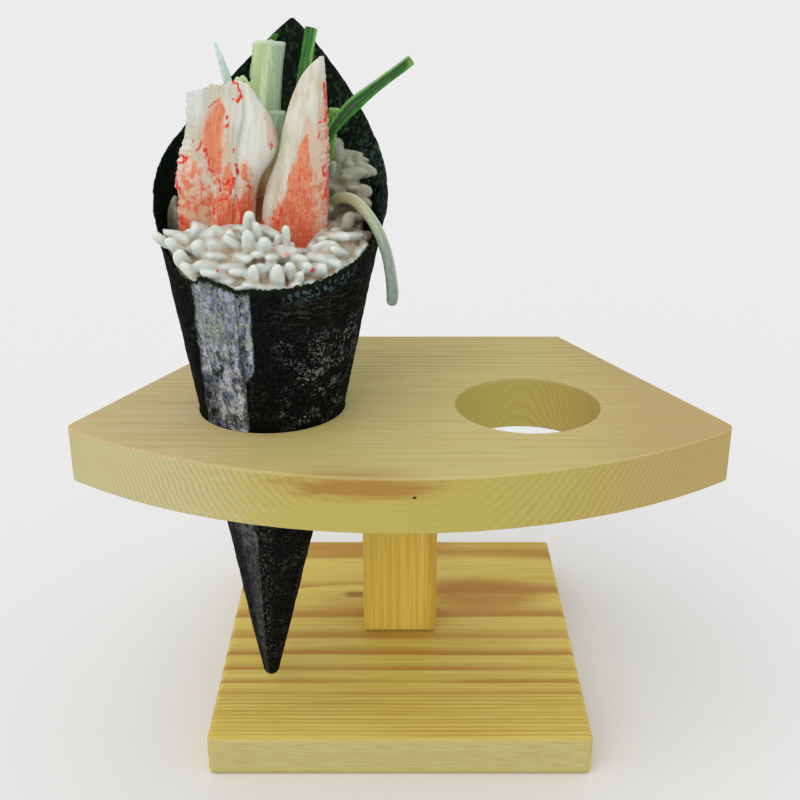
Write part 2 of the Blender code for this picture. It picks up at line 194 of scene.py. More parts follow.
def stored(wire, name):
    """A value that the mesh carries at each of its points."""
    return wire.node("ShaderNodeAttribute", attribute_name=name)["Fac"]


def new_finish(name, **constants):
    """A material, its shader and the wire from which a pattern starts; constants name the sockets."""
    made = bpy.data.materials.new(name)
    made.use_nodes = True
    shader = made.node_tree.nodes["Principled BSDF"]
    for socket, value in constants.items():
        shader.inputs[socket.replace("_", " ")].default_value = value
    return made, shader, Wire(made.node_tree)


def count_nodes(finish):
    """Say how many nodes a finish took, and hand it on."""
    print(finish.name, "takes", len(finish.node_tree.nodes), "nodes")
    return finish


def dress(shader, colour, roughness, relief, depth):
    """Plug a pattern into a shader; depth is the relief's height in millimetres."""
    bump = relief.node("ShaderNodeBump", {"Distance": depth * MM, "Height": relief})
    for wire, socket in ((colour, "Base Color"), (roughness, "Roughness"), (bump, "Normal")):
        shader.id_data.links.new(wire.socket, shader.inputs[socket])


def in_millimetres(wire, location=(0.0, 0.0, 0.0), turn=(0.0, 0.0, 0.0)):
    """Object coordinates seen from a place and a turn, in millimetres."""
    seen = wire.node("ShaderNodeTexCoord")["Object"]
    values = {"Vector": seen, "Location": location, "Rotation": turn, "Scale": (MM, MM, MM)}
    return seen.node("ShaderNodeMapping", values, vector_type="TEXTURE")


def on_roll(wire):
    """The roll's own upright millimetres."""
    return in_millimetres(wire, tuple(TIP * MM), (0.0, LEAN, 0.0))


print("pattern helpers are ready")

# %% [markdown]
# ## Helpers for pieces
#
# Many pieces are lofts: closed skins over a pile of rings. Others come out of Geometry Nodes. Both end as a
# plain mesh whose object sits at the origin and rides on the one body that this part has.

# %% Meshes and objects
def as_mesh(name, shape):
    """A plain mesh out of an edited shape."""
    mesh = bpy.data.meshes.new(name)
    shape.to_mesh(mesh)
    shape.free()
    return mesh


def join(name, *meshes):
    """One mesh out of several."""
    shape = bmesh.new()
    for mesh in meshes:
        shape.from_mesh(mesh)
    return as_mesh(name, shape)


def in_scene(name, data):
    """A new object at the origin."""
    made = bpy.data.objects.new(name, data)
    bpy.context.scene.collection.objects.link(made)
    return made


def applied(holder, name):
    """The mesh that an object's modifiers make; the object itself goes."""
    graph = bpy.context.evaluated_depsgraph_get()
    mesh = bpy.data.meshes.new_from_object(holder.evaluated_get(graph))
    mesh.name = name
    bpy.data.objects.remove(holder)
    return mesh


def turns(count):
    """Angles evenly round a circle."""
    return [2.0 * math.pi * i / count for i in range(count)]


def loft(name, rings):
    """A closed skin over rings of points; a ring of one point closes an end to a pole."""
    shape = bmesh.new()
    rows = [[shape.verts.new(point) for point in ring] for ring in rings]
    for low, high in zip(rows, rows[1:]):
        count = max(len(low), len(high))
        for i in range(count):
            j = (i + 1) % count
            corners = (low[i % len(low)], low[j % len(low)], high[j % len(high)], high[i % len(high)])
            shape.faces.new(list(dict.fromkeys(corners)))  # a pole is one corner, not two
    for end in (rows[0], rows[-1]):
        if len(end) > 1:
            shape.faces.new(end)
    bmesh.ops.recalc_face_normals(shape, faces=shape.faces)
    return as_mesh(name, shape)


def store(mesh, name, values):
    """Keep a value at each point, for the finish to read."""
    mesh.attributes.new(name, "FLOAT", "POINT").data.foreach_set("value", values)


def mark(mesh, name, rule):
    """Keep a value at each point by a rule of its place."""
    store(mesh, name, [float(rule(*vert.co)) for vert in mesh.vertices])


def add_piece(name, mesh, finish, slot, *nodes):
    """Put a finished mesh in the scene, riding on the part and standing for the nodes it replaces."""
    place(mesh)
    mesh.materials.clear()
    mesh.materials.append(finish)
    mesh.polygons.foreach_set("material_index", [0] * len(mesh.polygons))
    mesh.shade_smooth()
    piece = in_scene(name, mesh)
    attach(piece, "root")
    if nodes:
        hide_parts(*nodes)
    size = [round(value / MM, 1) for value in piece.dimensions]
    print(f"{name}: {len(mesh.polygons)} faces, {size} mm")


print("mesh helpers are ready")


# %% Trees that make shapes
def new_rule(name, sizes):
    """A Geometry Nodes tree with one named input for each size, and wires for all of them."""
    tree = bpy.data.node_groups.new(name, "GeometryNodeTree")
    inputs = {"Base": "Geometry"}
    inputs.update({size: "Int" if isinstance(value, int) else "Float" for size, value in sizes.items()})
    inputs["Finish"] = "Material"
    for title, kind in inputs.items():
        tree.interface.new_socket(title, in_out="INPUT", socket_type=f"NodeSocket{kind}")
    tree.interface.new_socket("Made", in_out="OUTPUT", socket_type="NodeSocketGeometry")
    entry = tree.nodes.new("NodeGroupInput")
    return tree, {socket.name: Wire(tree, socket) for socket in entry.outputs if socket.name}


def keep(shape, name, value, **kind):
    """Store a value on the shape in a tree."""
    values = {"Geometry": shape, "Name": name, "Value": value}
    return shape.node("GeometryNodeStoreNamedAttribute", values, **kind)


def end_rule(tree, shape, finish):
    """Close a tree: real meshes instead of instances, with their material."""
    real = shape.node("GeometryNodeRealizeInstances", {0: shape})
    done = real.node("GeometryNodeSetMaterial", {"Geometry": real, "Material": finish})
    leave = tree.nodes.new("NodeGroupOutput")
    tree.links.new(done.socket, leave.inputs[0])
    return tree


def grow(name, tree, values, base=None, thickness=0.0):
    """Run a tree on a base mesh and give its result as a plain mesh."""
    holder = in_scene(name, base or bpy.data.meshes.new(name))
    rule = holder.modifiers.new("rule", "NODES")
    rule.node_group = tree
    for socket in tree.interface.items_tree:
        if socket.in_out == "INPUT" and socket.name in values:
            rule[socket.identifier] = values[socket.name]
    if thickness:
        wall = holder.modifiers.new("wall", "SOLIDIFY")
        wall.thickness = thickness
        wall.offset = -1.0
    return applied(holder, name)


print("tree helpers are ready")

# %% [markdown]
# ## The nori's shape
#
# Nori is a square sheet of seaweed, pressed and toasted. Rolled from one corner, its far corner stands up at
# the back as a peak, and its height at any side is the square's edge over the cosine of an angle: that one
# rule gives the whole rim. The sheet goes round one and a fifth times and its free edge runs down the front,
# where the last flap lies flat.
#
# A sheet that follows a rule suits Geometry Nodes. A plain grid is bent: across the grid is the turn round
# the cone, up the grid is the height. Toasting crinkles the sheet, so noise moves it in and out, and frays
# its upper edge. Solidify then gives the thin wall.

# %% Sizes of the sheet
NORI = {
    "Columns": 330,
    "Rows": 145,
    "Turned": 430.0,
    "Free edge": -103.0,
    "Cone slope": 0.199,
    "Cone start": 1.35,
    "Tip rounding": 2.4,
    "Tip part": 0.06,
    "Rim front": 110.6,
    "Rim corner": 46.2,
    "Rim ease": 1.12,
    "Peak side": 87.5,
    "Mouth starts": 70.0,
    "Mouth full": 120.0,
    "Mouth oval": 0.08,
    "Mouth shift": -0.6,
    "Mouth flare": -0.6,
    "Bulge": 2.6,
    "Bulge side": 148.0,
    "Bulge width": 30.0,
    "Bulge starts": 112.0,
    "Bulge full": 128.0,
    "Flat middle": -123.5,
    "Flat half": 19.5,
    "Lap step": 0.45,
    "Crinkle": 0.55,
    "Fray": 1.0,
    "Worn side": -138.0,
    "Worn width": 11.0,
    "Worn depth": 3.4,
    "Seed": 4.0,
}
NORI_THICKNESS = 0.28
SHELF_MIDDLE = 68.0  # height of the hole's middle above the cone's tip
print("the rim stands", NORI["Rim front"], "mm up in front; the sheet turns", NORI["Turned"], "degrees")


# %% The tree that rolls the sheet
def radians(wire):
    return wire * (math.pi / 180.0)


def wrapped(wire):
    """An angle brought between -180 and 180 degrees."""
    return wire.math("WRAP", wire, 180.0, -180.0)


def bell(wire):
    """One at nothing, and less and less on both sides."""
    return (wire**2.0 * -1.0).math("EXPONENT")


def sheet_height(rule, side, part, turned):
    """Height above the tip: the rolled square's rim, frayed, and a lower edge inside the lap."""
    away = abs(wrapped(side - rule["Peak side"])) / 180.0
    opening = radians(rule["Rim corner"] * (1.0 - away ** rule["Rim ease"]))
    worn = bell((side - rule["Worn side"]) / rule["Worn width"]) * rule["Worn depth"]
    rim = rule["Rim front"] / opening.math("COSINE") - worn
    tucked = edge(turned, 352, 372, 0, 2.5)
    along = together(turned, rule["Seed"])
    teeth = mottle(along, (5, 1, 1), 3, 1) - 0.5
    nicks = edge(abs(mottle(along, (2.1, 1, 1), 1, 2) - 0.5), 0, 0.035, -0.45, 0)
    frayed = (teeth * 1.7 + nicks) * rule["Fray"] * edge(rim, 116, 128, 1, 0.22)
    near_tip = (part / rule["Tip part"]).at_most(1.0)
    return (rim - tucked) * part**0.85 * near_tip + frayed * part**9.0, rim - tucked


def cone_radius(rule, side, height):
    """The cone, rounded at its tip and flat behind the last flap."""
    rounding = 1.0 - (height / rule["Tip rounding"]).at_most(1.0)
    cap = (1.0 - rounding**2.0).at_least(0.0).math("SQRT")
    radius = rule["Cone slope"] * height.at_least(rule["Tip rounding"]) + rule["Cone start"]
    off_middle = side - rule["Flat middle"]
    flat = off_middle.math("LESS_THAN", abs(off_middle), rule["Flat half"])
    chord = radians(rule["Flat half"]).math("COSINE") / radians(off_middle * flat).math("COSINE")
    return radius * cap * (1.0 + flat * (chord - 1.0))


def sheet_relief(rule, on_sheet, turned, height):
    """Waves, crinkles and creases of the toasted sheet; it lies smoother in the hole and inside the lap."""
    waves = (mottle(on_sheet, (14, 14, 1), 1, 3) - 0.5) * 0.6
    soft = (mottle(on_sheet, (3.6, 3.6, 1), 2, 5, 0.4) - 0.5) * 0.9
    creases = edge(abs(mottle(on_sheet, (5, 5, 1), 3, 8, 0.8) - 0.5), 0, 0.05, -0.3, 0)
    in_lap = edge(turned, 330, 350, 1, 0)
    in_hole = edge(abs(height - SHELF_MIDDLE), 7, 15, 0.25, 1)
    return (waves + soft + creases) * rule["Crinkle"] * in_lap * in_hole * edge(height, 4, 30)


def nori_rule():
    tree, rule = new_rule("rolled_sheet", NORI)
    sizes = {"Size X": 1.0, "Size Y": 1.0, "Vertices X": rule["Columns"], "Vertices Y": rule["Rows"]}
    grid = rule["Seed"].node("GeometryNodeMeshGrid", sizes)
    grid_x, grid_y, _ = parts(grid.node("GeometryNodeInputPosition"))
    turned = (grid_x + 0.5) * rule["Turned"]
    side = wrapped(rule["Free edge"] - turned)
    height, rim = sheet_height(rule, side, grid_y + 0.5, turned)

    lap = rule["Lap step"] * (1.0 - turned / 360.0) * (height / 15.0).at_most(1.0)
    open_mouth = edge(height, rule["Mouth starts"], rule["Mouth full"])
    from_bulge = wrapped(side - rule["Bulge side"]) / rule["Bulge width"]
    bulge = edge(height, rule["Bulge starts"], rule["Bulge full"]) * rule["Bulge"] * bell(from_bulge)
    spread = radians(turned) * 0.195
    slant = height * 1.02
    on_sheet = together(slant * spread.math("COSINE"), slant * spread.math("SINE"), rule["Seed"])
    relief = sheet_relief(rule, on_sheet, turned, height)

    radius = cone_radius(rule, side, height) + lap + rule["Mouth flare"] * open_mouth + bulge + relief
    angle = radians(side)
    bent_x = radius * angle.math("COSINE") + rule["Mouth shift"] * open_mouth
    bent_y = radius * angle.math("SINE") * (1.0 + rule["Mouth oval"] * open_mouth)
    flat_place = on_sheet.vector("MULTIPLY", on_sheet, (0.01, 0.01, 0.01))
    marked = keep(grid, "sheet", flat_place, data_type="FLOAT2", domain="CORNER")
    marked = keep(marked, "below_rim", rim - height, data_type="FLOAT")
    bent = {"Geometry": marked, "Position": together(bent_x, bent_y, height)}
    return end_rule(tree, marked.node("GeometryNodeSetPosition", bent), rule["Finish"])


NORI_RULE = nori_rule()
print("the sheet's tree has", len(NORI_RULE.nodes), "nodes")

# %% [markdown]
# ## The nori's finish
#
# Toasted nori is nearly black with a breath of green. It is pressed from shredded seaweed, so close up it is
# a felt of short flecks, yellow green where a shred lies on top and black where there is a pit. The flat flap
# has a painted reflection of the lamp as a lavender grey band, with painted shade in its creases; the rest
# stays dark, with painted glints on its crinkles. Inside, where the sheet faces the rice, it is greener.

# %% Toasted seaweed
def curls(at, size, width, seed, twist=1.2):
    """Thin curled lines, as shreds or creases make them."""
    return edge(abs(mottle(at, size, 2, seed, twist) - 0.5), width * 0.3, width, 1, 0)


def painted_flap_sheen(at, z, fine):
    """The flap's painted lavender grey reflection under short yellow green shreds; painted shade and glints
    where it is more crumpled lower down.
    """
    crumpled = edge(z, 101, 93, 0.35, 1)
    blots = mottle(at, (1.8, 1.8, 3), 3, 13, 0.5)
    shreds = curls(at, (0.9, 0.9, 1.3), 0.11, 11) * edge(fine, 0.4, 0.6)
    dashes = curls(at, (1.2, 1.2, 1.9), 0.1, 17) * edge(blots, 0.62, 0.42)
    glints = curls(at, (1.5, 1.5, 1.9), 0.08, 47) * edge(blots, 0.42, 0.6)
    painted_crease_shade = edge(mottle(at, (1.6, 1.6, 3.5), 3, 19), 0.55, 0.66) * crumpled
    # The lavender grey sheen is a painted reflection of the lamp on the flat flap; the yellow green shreds are
    # the sheet's own colour.
    return coats(
        blend((86, 88, 122), (148, 148, 188), edge(blots, 0.34, 0.66)),
        ((122, 134, 132), edge(mottle(at, (3, 3, 6), 2, 15), 0.44, 0.62) * 0.6),
        ((182, 198, 138), shreds * (0.75 - crumpled * 0.2)),
        # Dark dashes, strongest where crumpled: painted shade in the crinkles.
        ((28, 32, 38), dashes * (crumpled * 0.6 + 0.12)),
        # Pale dashes on the crumpled lower part: painted glints.
        ((206, 208, 206), glints * crumpled * 0.7),
        # Near black creases: painted shade where the painted reflection breaks.
        ((12, 14, 15), painted_crease_shade * 0.75),
    )


def flap_share(at, side, z):
    """Where the flap's painted reflection lies: between a wandering left edge and the sheet's free edge."""
    wander = mottle(at, (3, 3, 7), 3, 2) - 0.5
    left = side - ((z - 107) * 0.33 - 133.5) + wander * 8
    right = edge(z, 87, 91, -102, -95.5) - side + wander * 3
    broken = edge(mottle(at, (0.9, 0.9, 1.6), 3, 45, 0.8), 0.42, 0.6) * edge(z, 94, 97)
    # A dark line down a crease, where the painted reflection breaks off: painted shade.
    sheen_break = 1 - edge(abs(side + 101.2 + wander * 6), 2, 0.2) * broken * 0.85
    patchy = edge(mottle(at, (1.6, 1.6, 3.5), 2, 41), 0.26, 0.42) + edge(side, -100, -101)
    dull = 1 - edge(side, -124, -132) * edge(z, 90, 85) * 0.6
    # Weaker below the shelf: painted shade of the shelf over the painted reflection.
    below_shelf = edge(z, 58, 66, 0.36, 0.96) * edge(z, 30, 58, 0.3, 1)
    return edge(left, 0, 2.5) * edge(right, 0, 1.5) * sheen_break * patchy.at_most(1.0) * dull * below_shelf


def dark_sheet(at, side, z, fine):
    """The rest of the sheet: near black, with faint streaks above and painted glints on the crinkles lower
    right.
    """
    streaks = edge(mottle(at, (3.5, 3.5, 0.5), 2, 37, 0.4), 0.54, 0.68)
    upper = edge(side, -88, -70) * edge(z, 95, 103)
    patches = edge(mottle(at, (5, 5, 4), 2, 29), 0.44, 0.6)
    lower = edge(side, -86, -66) * edge(z, 103, 97) * edge(side, 0, -25, 0.4, 1)
    dashes = curls(at, (2.2, 2.2, 0.8), 0.06, 23) * edge(fine, 0.42, 0.62) * edge(z, 76, 80, 0.25, 1)
    return coats(
        blend((7, 8, 8), (26, 29, 27), edge(fine, 0.46, 0.76)),
        ((54, 58, 44), streaks * upper * 0.7),
        # Lilac and grey white dashes on the crinkles, mostly lower right: painted glints.
        (
            blend((118, 116, 142), (150, 156, 148), patches),
            dashes * (patches * 0.8 + 0.1) * (lower * 0.86 + 0.1),
        ),
    )


def outer_face(at, start, side, fine):
    """The sheet as it shows from outside: dark, with a painted reflection on its flap and painted glints under
    the right rim, worn and green along its rim.
    """
    _, y, z = parts(at)
    front = edge(y, 2, -4)
    rim = stored(start, "below_rim") + (fine - 0.5) * 3
    flecks = edge(mottle(at, (0.5, 0.5, 0.9), 3, 49, 0.8), 0.52, 0.64) * edge(abs(side + 104), 30, 8)
    # Teal glassy patches below the rim at the right: a painted reflection on the crinkles.
    glassy = edge(abs(side + 57), 26, 14) * edge(rim, 4.6, 2.6)
    glassy = glassy * edge(mottle(at, (1, 1, 1.2), 3, 43, 0.8), 0.5, 0.6)
    return coats(
        dark_sheet(at, side, z, fine),
        (painted_flap_sheen(at, z, fine), flap_share(at, side, z) * front),
        ((104, 118, 98), flecks * edge(z, 66, 60) * front * 0.5),
        ((82, 112, 118), glassy * front * 0.8),
        ((18, 25, 12), edge(rim, 2, 0.9) * front),
        ((78, 104, 46), edge(rim, 0.6, 0) * edge(fine, 0.5, 0.62) * front),
    )


def inner_face(at, fine):
    """The sheet as it shows behind the filling: green shreds, and painted glints on glassy crinkles at the
    right.
    """
    x, _, z = parts(at)
    specks = edge(mottle(at, (1.1, 1.1, 1.7), 3, 31, 0.8), 0.48, 0.68)
    broad = edge(mottle(at, (7, 7, 9), 2, 33) + x * 0.008, 0.4, 0.62)
    # Pale teal on the crinkles at the right: painted glints.
    crinkles = curls(at, (1.6, 1.6, 2.4), 0.1, 35) * edge(x, 17, 20) * edge(z, 138, 132)
    inside = blend((16, 24, 21), (66, 86, 52), specks * (broad * 0.65 + 0.15))
    return blend(inside, (92, 118, 116), crinkles * edge(fine, 0.42, 0.6) * 0.7)


def nori_finish():
    made, shader, start = new_finish("toasted_nori", IOR=1.12)
    at = on_roll(start)
    x, y, z = parts(at)
    side = y.math("ARCTAN2", y, x) * (180.0 / math.pi)
    fine = mottle(at, (0.6, 0.6, 0.9), 3, 7, 0.6)
    outside = outer_face(at, start, side, fine)
    inside = blend(outside, inner_face(at, fine), edge(z, 112, 120) * edge(y, -9, -3))
    face_x, face_y, _ = parts(start.node("ShaderNodeNewGeometry")["Normal"])
    outward = (face_x * x + face_y * y) / (x**2.0 + y**2.0) ** 0.5
    surface = blend(outside, inside, edge(outward, 0.3, -0.1))
    rough = edge(fine, 0.3, 0.7, 0.5, 0.32) + edge(abs(side + 92), 36, 52) * 0.42
    dress(shader, surface, rough, fine + curls(at, (2.2, 2.2, 2.6), 0.1, 8), 0.14)
    return made


NORI_FINISH = count_nodes(nori_finish())


# %% Roll the sheet
TIP_GAP = 0.12  # the plug in the tip stays this far inside the sheet


def close_tip():
    """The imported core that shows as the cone's rounded point."""
    rings = [[(0.0, 0.0, 0.02)]]
    for height in (0.1, 0.35, 0.8, 1.4, 2.2, 3.2):
        rounded = math.sqrt(1.0 - (1.0 - min(1.0, height / NORI["Tip rounding"])) ** 2)
        radius = NORI["Cone slope"] * max(height, NORI["Tip rounding"]) + NORI["Cone start"]
        radius = radius * rounded - TIP_GAP
        rings.append([(radius * math.cos(a), radius * math.sin(a), height) for a in turns(32)])
    return loft("nori_tip", rings + [[(0.0, 0.0, 3.4)]])


sheet = grow("nori_sheet", NORI_RULE, {**NORI, "Finish": NORI_FINISH}, thickness=NORI_THICKNESS)
add_piece("nori_cone", join("nori_cone", sheet, close_tip()), NORI_FINISH, "nori", "nori")

# %% [markdown]
# ## The heap of rice
#
# Sushi rice is short grained and sticky: it holds together as a heap, with grains standing out at its top.
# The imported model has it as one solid. Here a smaller core fills the cone and carries the grains. The core's
# top follows the heap: lower in front of the sticks, higher behind them, and sloping down to the nori's rim.

# %% The core under the grains
RICE_LEVEL, RICE_TILT = 119.5, 0.11
BACK_RISE, BACK_STARTS, BACK_REACH = 11.0, -2.0, 12.0
RICE_LUMP = 0.7
SHOULDER_LIP, SHOULDER_RISE, SHOULDER_REACH = 0.6, 9.0, 4.0
CORE_DEPTH, BED_DEPTH = 2.2, 0.3
CORE_FOOT, CORE_BOTTOM, CORE_WALL = 4.2, 5.0, -0.9
FRONT_SINK = 1.8  # the front lies lower, because grains are placed there one by one
FRONT_STARTS, FRONT_REACH = -9.0, 4.0
DIP, DIP_X, DIP_WIDTH = 6.0, 7.8, 4.6  # before the right stick
DIP_STARTS, DIP_REACH, DIP_FROM_WALL = -5.0, 3.0, 5.0
SIDE_DIP, SIDE_DIP_WIDTH, SIDE_DIP_LENGTH = 5.0, 5.5, 7.0  # beside it
SIDE_DIP_X, SIDE_DIP_Y = 18.0, -2.0
WALL_GAP_FRONT, WALL_GAP_BACK = 0.8, 4.8
EDGE_BELOW_RIM, EDGE_HIGHEST = 2.0, 130.0
HEAP_SIDES = 72


def smoothstep(value):
    value = min(1.0, max(0.0, value))
    return value * value * (3.0 - 2.0 * value)


def rim_height(side):
    """The rolled square's rule again, for pieces that aren't made by the sheet's tree."""
    away = abs((side - NORI["Peak side"] + 180.0) % 360.0 - 180.0) / 180.0
    opening = math.radians(NORI["Rim corner"] * (1.0 - away ** NORI["Rim ease"]))
    return NORI["Rim front"] / math.cos(opening)


def wrap_point(side, height, outward=0.0):
    """A point of the cone's wall, moved outward by so many millimetres."""
    radius = NORI["Cone slope"] * height + NORI["Cone start"]
    open_mouth = smoothstep((height - NORI["Mouth starts"]) / (NORI["Mouth full"] - NORI["Mouth starts"]))
    off_middle = side - NORI["Flat middle"]
    if abs(off_middle) < NORI["Flat half"]:
        radius *= math.cos(math.radians(NORI["Flat half"])) / math.cos(math.radians(off_middle))
    radius += outward + NORI["Mouth flare"] * open_mouth
    angle = math.radians(side)
    x = radius * math.cos(angle) + NORI["Mouth shift"] * open_mouth
    y = radius * math.sin(angle) * (1.0 + NORI["Mouth oval"] * open_mouth)
    return Vector((x, y, height))


def heap_height(x, y, to_wall, rim):
    """The heap before its dips: tilted, higher at the back, lumpy, and falling to the rim at the wall."""
    level = RICE_LEVEL + RICE_TILT * x + BACK_RISE * smoothstep((y - BACK_STARTS) / BACK_REACH)
    level += RICE_LUMP * (math.sin(0.8 * x + 0.5) * math.cos(0.9 * y) + math.sin(0.55 * y - 0.7 * x))
    shoulder = rim + SHOULDER_LIP + SHOULDER_RISE * (1.0 - math.exp(-to_wall / SHOULDER_REACH))
    return min(level, shoulder)


def heap_edge(side):
    """Where the heap's top ends: near the sheet in front, further from it at the sides and the back."""
    gap = WALL_GAP_FRONT + WALL_GAP_BACK * smoothstep((math.sin(math.radians(side)) + 0.6) / 0.9)
    return wrap_point(side, min(rim_height(side) - EDGE_BELOW_RIM, EDGE_HIGHEST), -gap)


def heap_at(x, y):
    """Height of the heap's top, with its lower front and dips before and beside the right stick."""
    side = math.degrees(math.atan2(y, x))
    rim = rim_height(side)
    to_wall = max(0.0, heap_edge(side).xy.length - math.hypot(x, y))
    front = FRONT_SINK * smoothstep((FRONT_STARTS - y) / FRONT_REACH)
    dip = DIP * math.exp(-(((x - DIP_X) / DIP_WIDTH) ** 2)) * smoothstep((DIP_STARTS - y) / DIP_REACH)
    dip *= smoothstep(to_wall / DIP_FROM_WALL)
    from_middle = ((x - SIDE_DIP_X) / SIDE_DIP_WIDTH) ** 2 + ((y - SIDE_DIP_Y) / SIDE_DIP_LENGTH) ** 2
    return heap_height(x, y, to_wall, rim) - front - dip - SIDE_DIP * math.exp(-from_middle)


def heap_sides():
    return [360.0 * i / HEAP_SIDES - 180.0 for i in range(HEAP_SIDES)]


def heap_rings(sink, steps):
    """Rings of the heap's top, from the wall to near the middle."""
    rings = []
    for step in range(steps):
        part = 1.0 - step / steps
        ends = [heap_edge(side) for side in heap_sides()]
        ring = [(end.x * part, end.y * part) for end in ends]
        rings.append([(x, y, heap_at(x, y) - sink) for x, y in ring])
    return rings


def rice_core():
    """The core: rings up the cone's wall, then the heap's top."""
    top = heap_rings(CORE_DEPTH, 12)
    rings = [[(0.0, 0.0, CORE_FOOT)]]
    for part in (0.0, 0.1, 0.35, 0.6, 0.8, 0.88):
        heights = [CORE_BOTTOM + (point[2] - CORE_BOTTOM) * part for point in top[0]]
        rings.append([wrap_point(side, height, CORE_WALL) for side, height in zip(heap_sides(), heights)])
    return loft("rice_core", rings + top + [[(0.0, 0.0, RICE_LEVEL - CORE_DEPTH)]])


core_mesh = rice_core()
print("core:", len(core_mesh.polygons), "faces")

# %% [markdown]
# ## The rice's finish
#
# Cooked rice is white but lets light in, so the thin ends of a grain look clearer. Scattering under the
# surface gives that, and a film of water makes it shiny. The gaps between grains are painted a warm tan as
# painted shade, and the crests paler as a painted highlight. Painted shade also darkens the heap behind and
# beside the sticks, so it is brightest in front, and between the two crab sticks the painted shade is amber.

# %% Cooked rice
def rice_finish(name, pale, deep):
    made, shader, start = new_finish(
        name,
        Specular_IOR_Level=0.5,
        Subsurface_Weight=0.85,
        Subsurface_Radius=(1.0, 0.8, 0.55),
        Subsurface_Scale=0.002,
        Coat_Weight=0.25,
        Coat_Roughness=0.12,
    )
    at = on_roll(start)
    x, y, _ = parts(at)
    cloudy = mottle(at, (2.4, 2.4, 2.4), 2, 3)
    fine = mottle(at, (0.6, 0.6, 0.9), 2, 5, 0.5)
    hollow = stored(start, "hollow") + (cloudy - 0.5) * 0.16
    sunk = stored(start, "sunk")
    low = edge(sunk + (cloudy - 0.5) * 4, -1.2, 1.8) * 0.3
    beside = edge(x, 11, 14) * edge(y, -11.5, -8.5) * edge(y, 5, 1)
    between = edge(abs(x + 2.2), 3.6, 2.4) * edge(y, -9.5, -7.5) * edge(y, 7, 5)
    colour = coats(
        blend(pale, deep, edge(cloudy, 0.5, 0.72) * 0.5),
        # Paler crests: a painted highlight.
        ((214, 223, 219), edge(hollow, -0.04, -0.28) * 0.6),
        # Warm tan in the hollows and on grains that lie deeper: painted shade.
        ((184, 154, 114), (low + edge(hollow, 0, 0.24)).at_most(1.0) * 0.8),
        # Darker and greener towards the back, behind the sticks: painted shade.
        ((130, 132, 106), edge(y, -8, 2) * 0.75),
        # Brown beside the right stick: painted shade.
        ((142, 118, 92), beside * edge(sunk + cloudy, 0.2, 0.7, 0.35, 0.85)),
        # Darker at the left wall: painted shade.
        ((112, 104, 78), edge(x, -16, -19) * edge(y, -6, -2) * 0.85),
        # Amber between the crab sticks: painted shade.
        ((206, 132, 72), between * 0.95),
    )
    dress(shader, colour, edge(fine, 0.3, 0.7, 0.26, 0.42), cloudy + fine * 0.4, 0.1)
    return made


GRAIN_FINISH = rice_finish("cooked_rice_grains", (188, 193, 185), (176, 172, 152))
# The core's darker tan is painted shade, for where it shows between the grains.
CORE_FINISH = rice_finish("rice_in_the_heap", (190, 172, 140), (178, 152, 116))
add_piece("rice_core", core_mesh, CORE_FINISH, "rice", "rice")

# %% [markdown]
# ## Grains by the hundred
#
# The grains repeat, so Geometry Nodes lay them: points are spread over the bed with a least distance
# between them, each gets one grain, turned at random and lying nearly flat, and noise makes no two grains
# alike. The bed is the heap's top without the places where the sticks stand.

# %% The tree that lays the grains
GRAINS = {
    "Least distance": 3.3,
    "Grain length": 7.4,
    "Grain width": 3.3,
    "Uprightness": 0.12,
    "Size spread": 0.12,
    "Unevenness": 0.14,
    "Seed": 7,
}


def one_grain(rule):
    """A ball drawn out to a grain, plump at its ends and with a shallow hollow along one side."""
    ball = rule["Seed"].node("GeometryNodeMeshUVSphere", {"Segments": 14, "Rings": 9, "Radius": 0.5})
    x, y, z = parts(ball.node("GeometryNodeInputPosition"))
    plump = 0.92 + abs(z * 2.0) ** 3.0 * 0.3
    hollow = edge(y, 0, 0.5) * 0.12
    wide, deep = x * rule["Grain width"] * plump, (y - hollow) * rule["Grain width"] * plump * 0.86
    shaped = together(wide, deep, z * rule["Grain length"])
    return shaped.node("GeometryNodeSetPosition", {"Geometry": ball, "Position": shaped})


def grains_rule():
    tree, rule = new_rule("laid_grains", GRAINS)
    bed, seed = rule["Base"], rule["Seed"]
    limits = {"Mesh": bed, "Distance Min": rule["Least distance"], "Density Max": 3.0, "Seed": seed}
    spread = bed.node("GeometryNodeDistributePointsOnFaces", limits, distribute_method="POISSON")

    def chance(low, high, offset):
        limits = {"Min": low, "Max": high, "Seed": seed + offset}
        return seed.node("FunctionNodeRandomValue", limits, data_type="FLOAT")

    heading = chance(0.0, 2.0 * math.pi, 1)
    tip_over = chance(0.0, 1.0, 2) ** rule["Uprightness"] * 1.5
    each = {
        "Points": spread["Points"],
        "Instance": one_grain(rule),
        "Rotation": together(tip_over, 0.0, heading),
        "Scale": 1.0 + chance(-1.0, 1.0, 3) * rule["Size spread"],
    }
    placed = spread.node("GeometryNodeInstanceOnPoints", each)
    real = placed.node("GeometryNodeRealizeInstances", {0: placed})
    spot = real.node("GeometryNodeInputPosition")
    lumps = spot.node("ShaderNodeTexNoise", {"Vector": spot, "Scale": 0.45, "Detail": 1.0})["Color"]
    centred = spot.vector("SUBTRACT", lumps, (0.5, 0.5, 0.5))
    shift = spot.vector("MULTIPLY", centred, rule["Unevenness"] * 3.0)
    lumpy = spot.node("GeometryNodeSetPosition", {"Geometry": real, "Offset": shift})
    return end_rule(tree, lumpy, rule["Finish"])


GRAINS_RULE = grains_rule()
print("the grains' tree has", len(GRAINS_RULE.nodes), "nodes")

# %% The bed they lie on
STICKS = (  # left, right, front and back of what stands in the rice, and of the gap between crab sticks
    (-21.0, -3.0, -6.8, 3.0),
    (-2.6, 12.4, -7.8, 2.0),
    (-7.2, 0.6, 8.8, 15.2),
    (-6.0, 1.5, -7.0, 9.0),
)
SHEET_GAP, OVERHANG = 0.5, 0.6


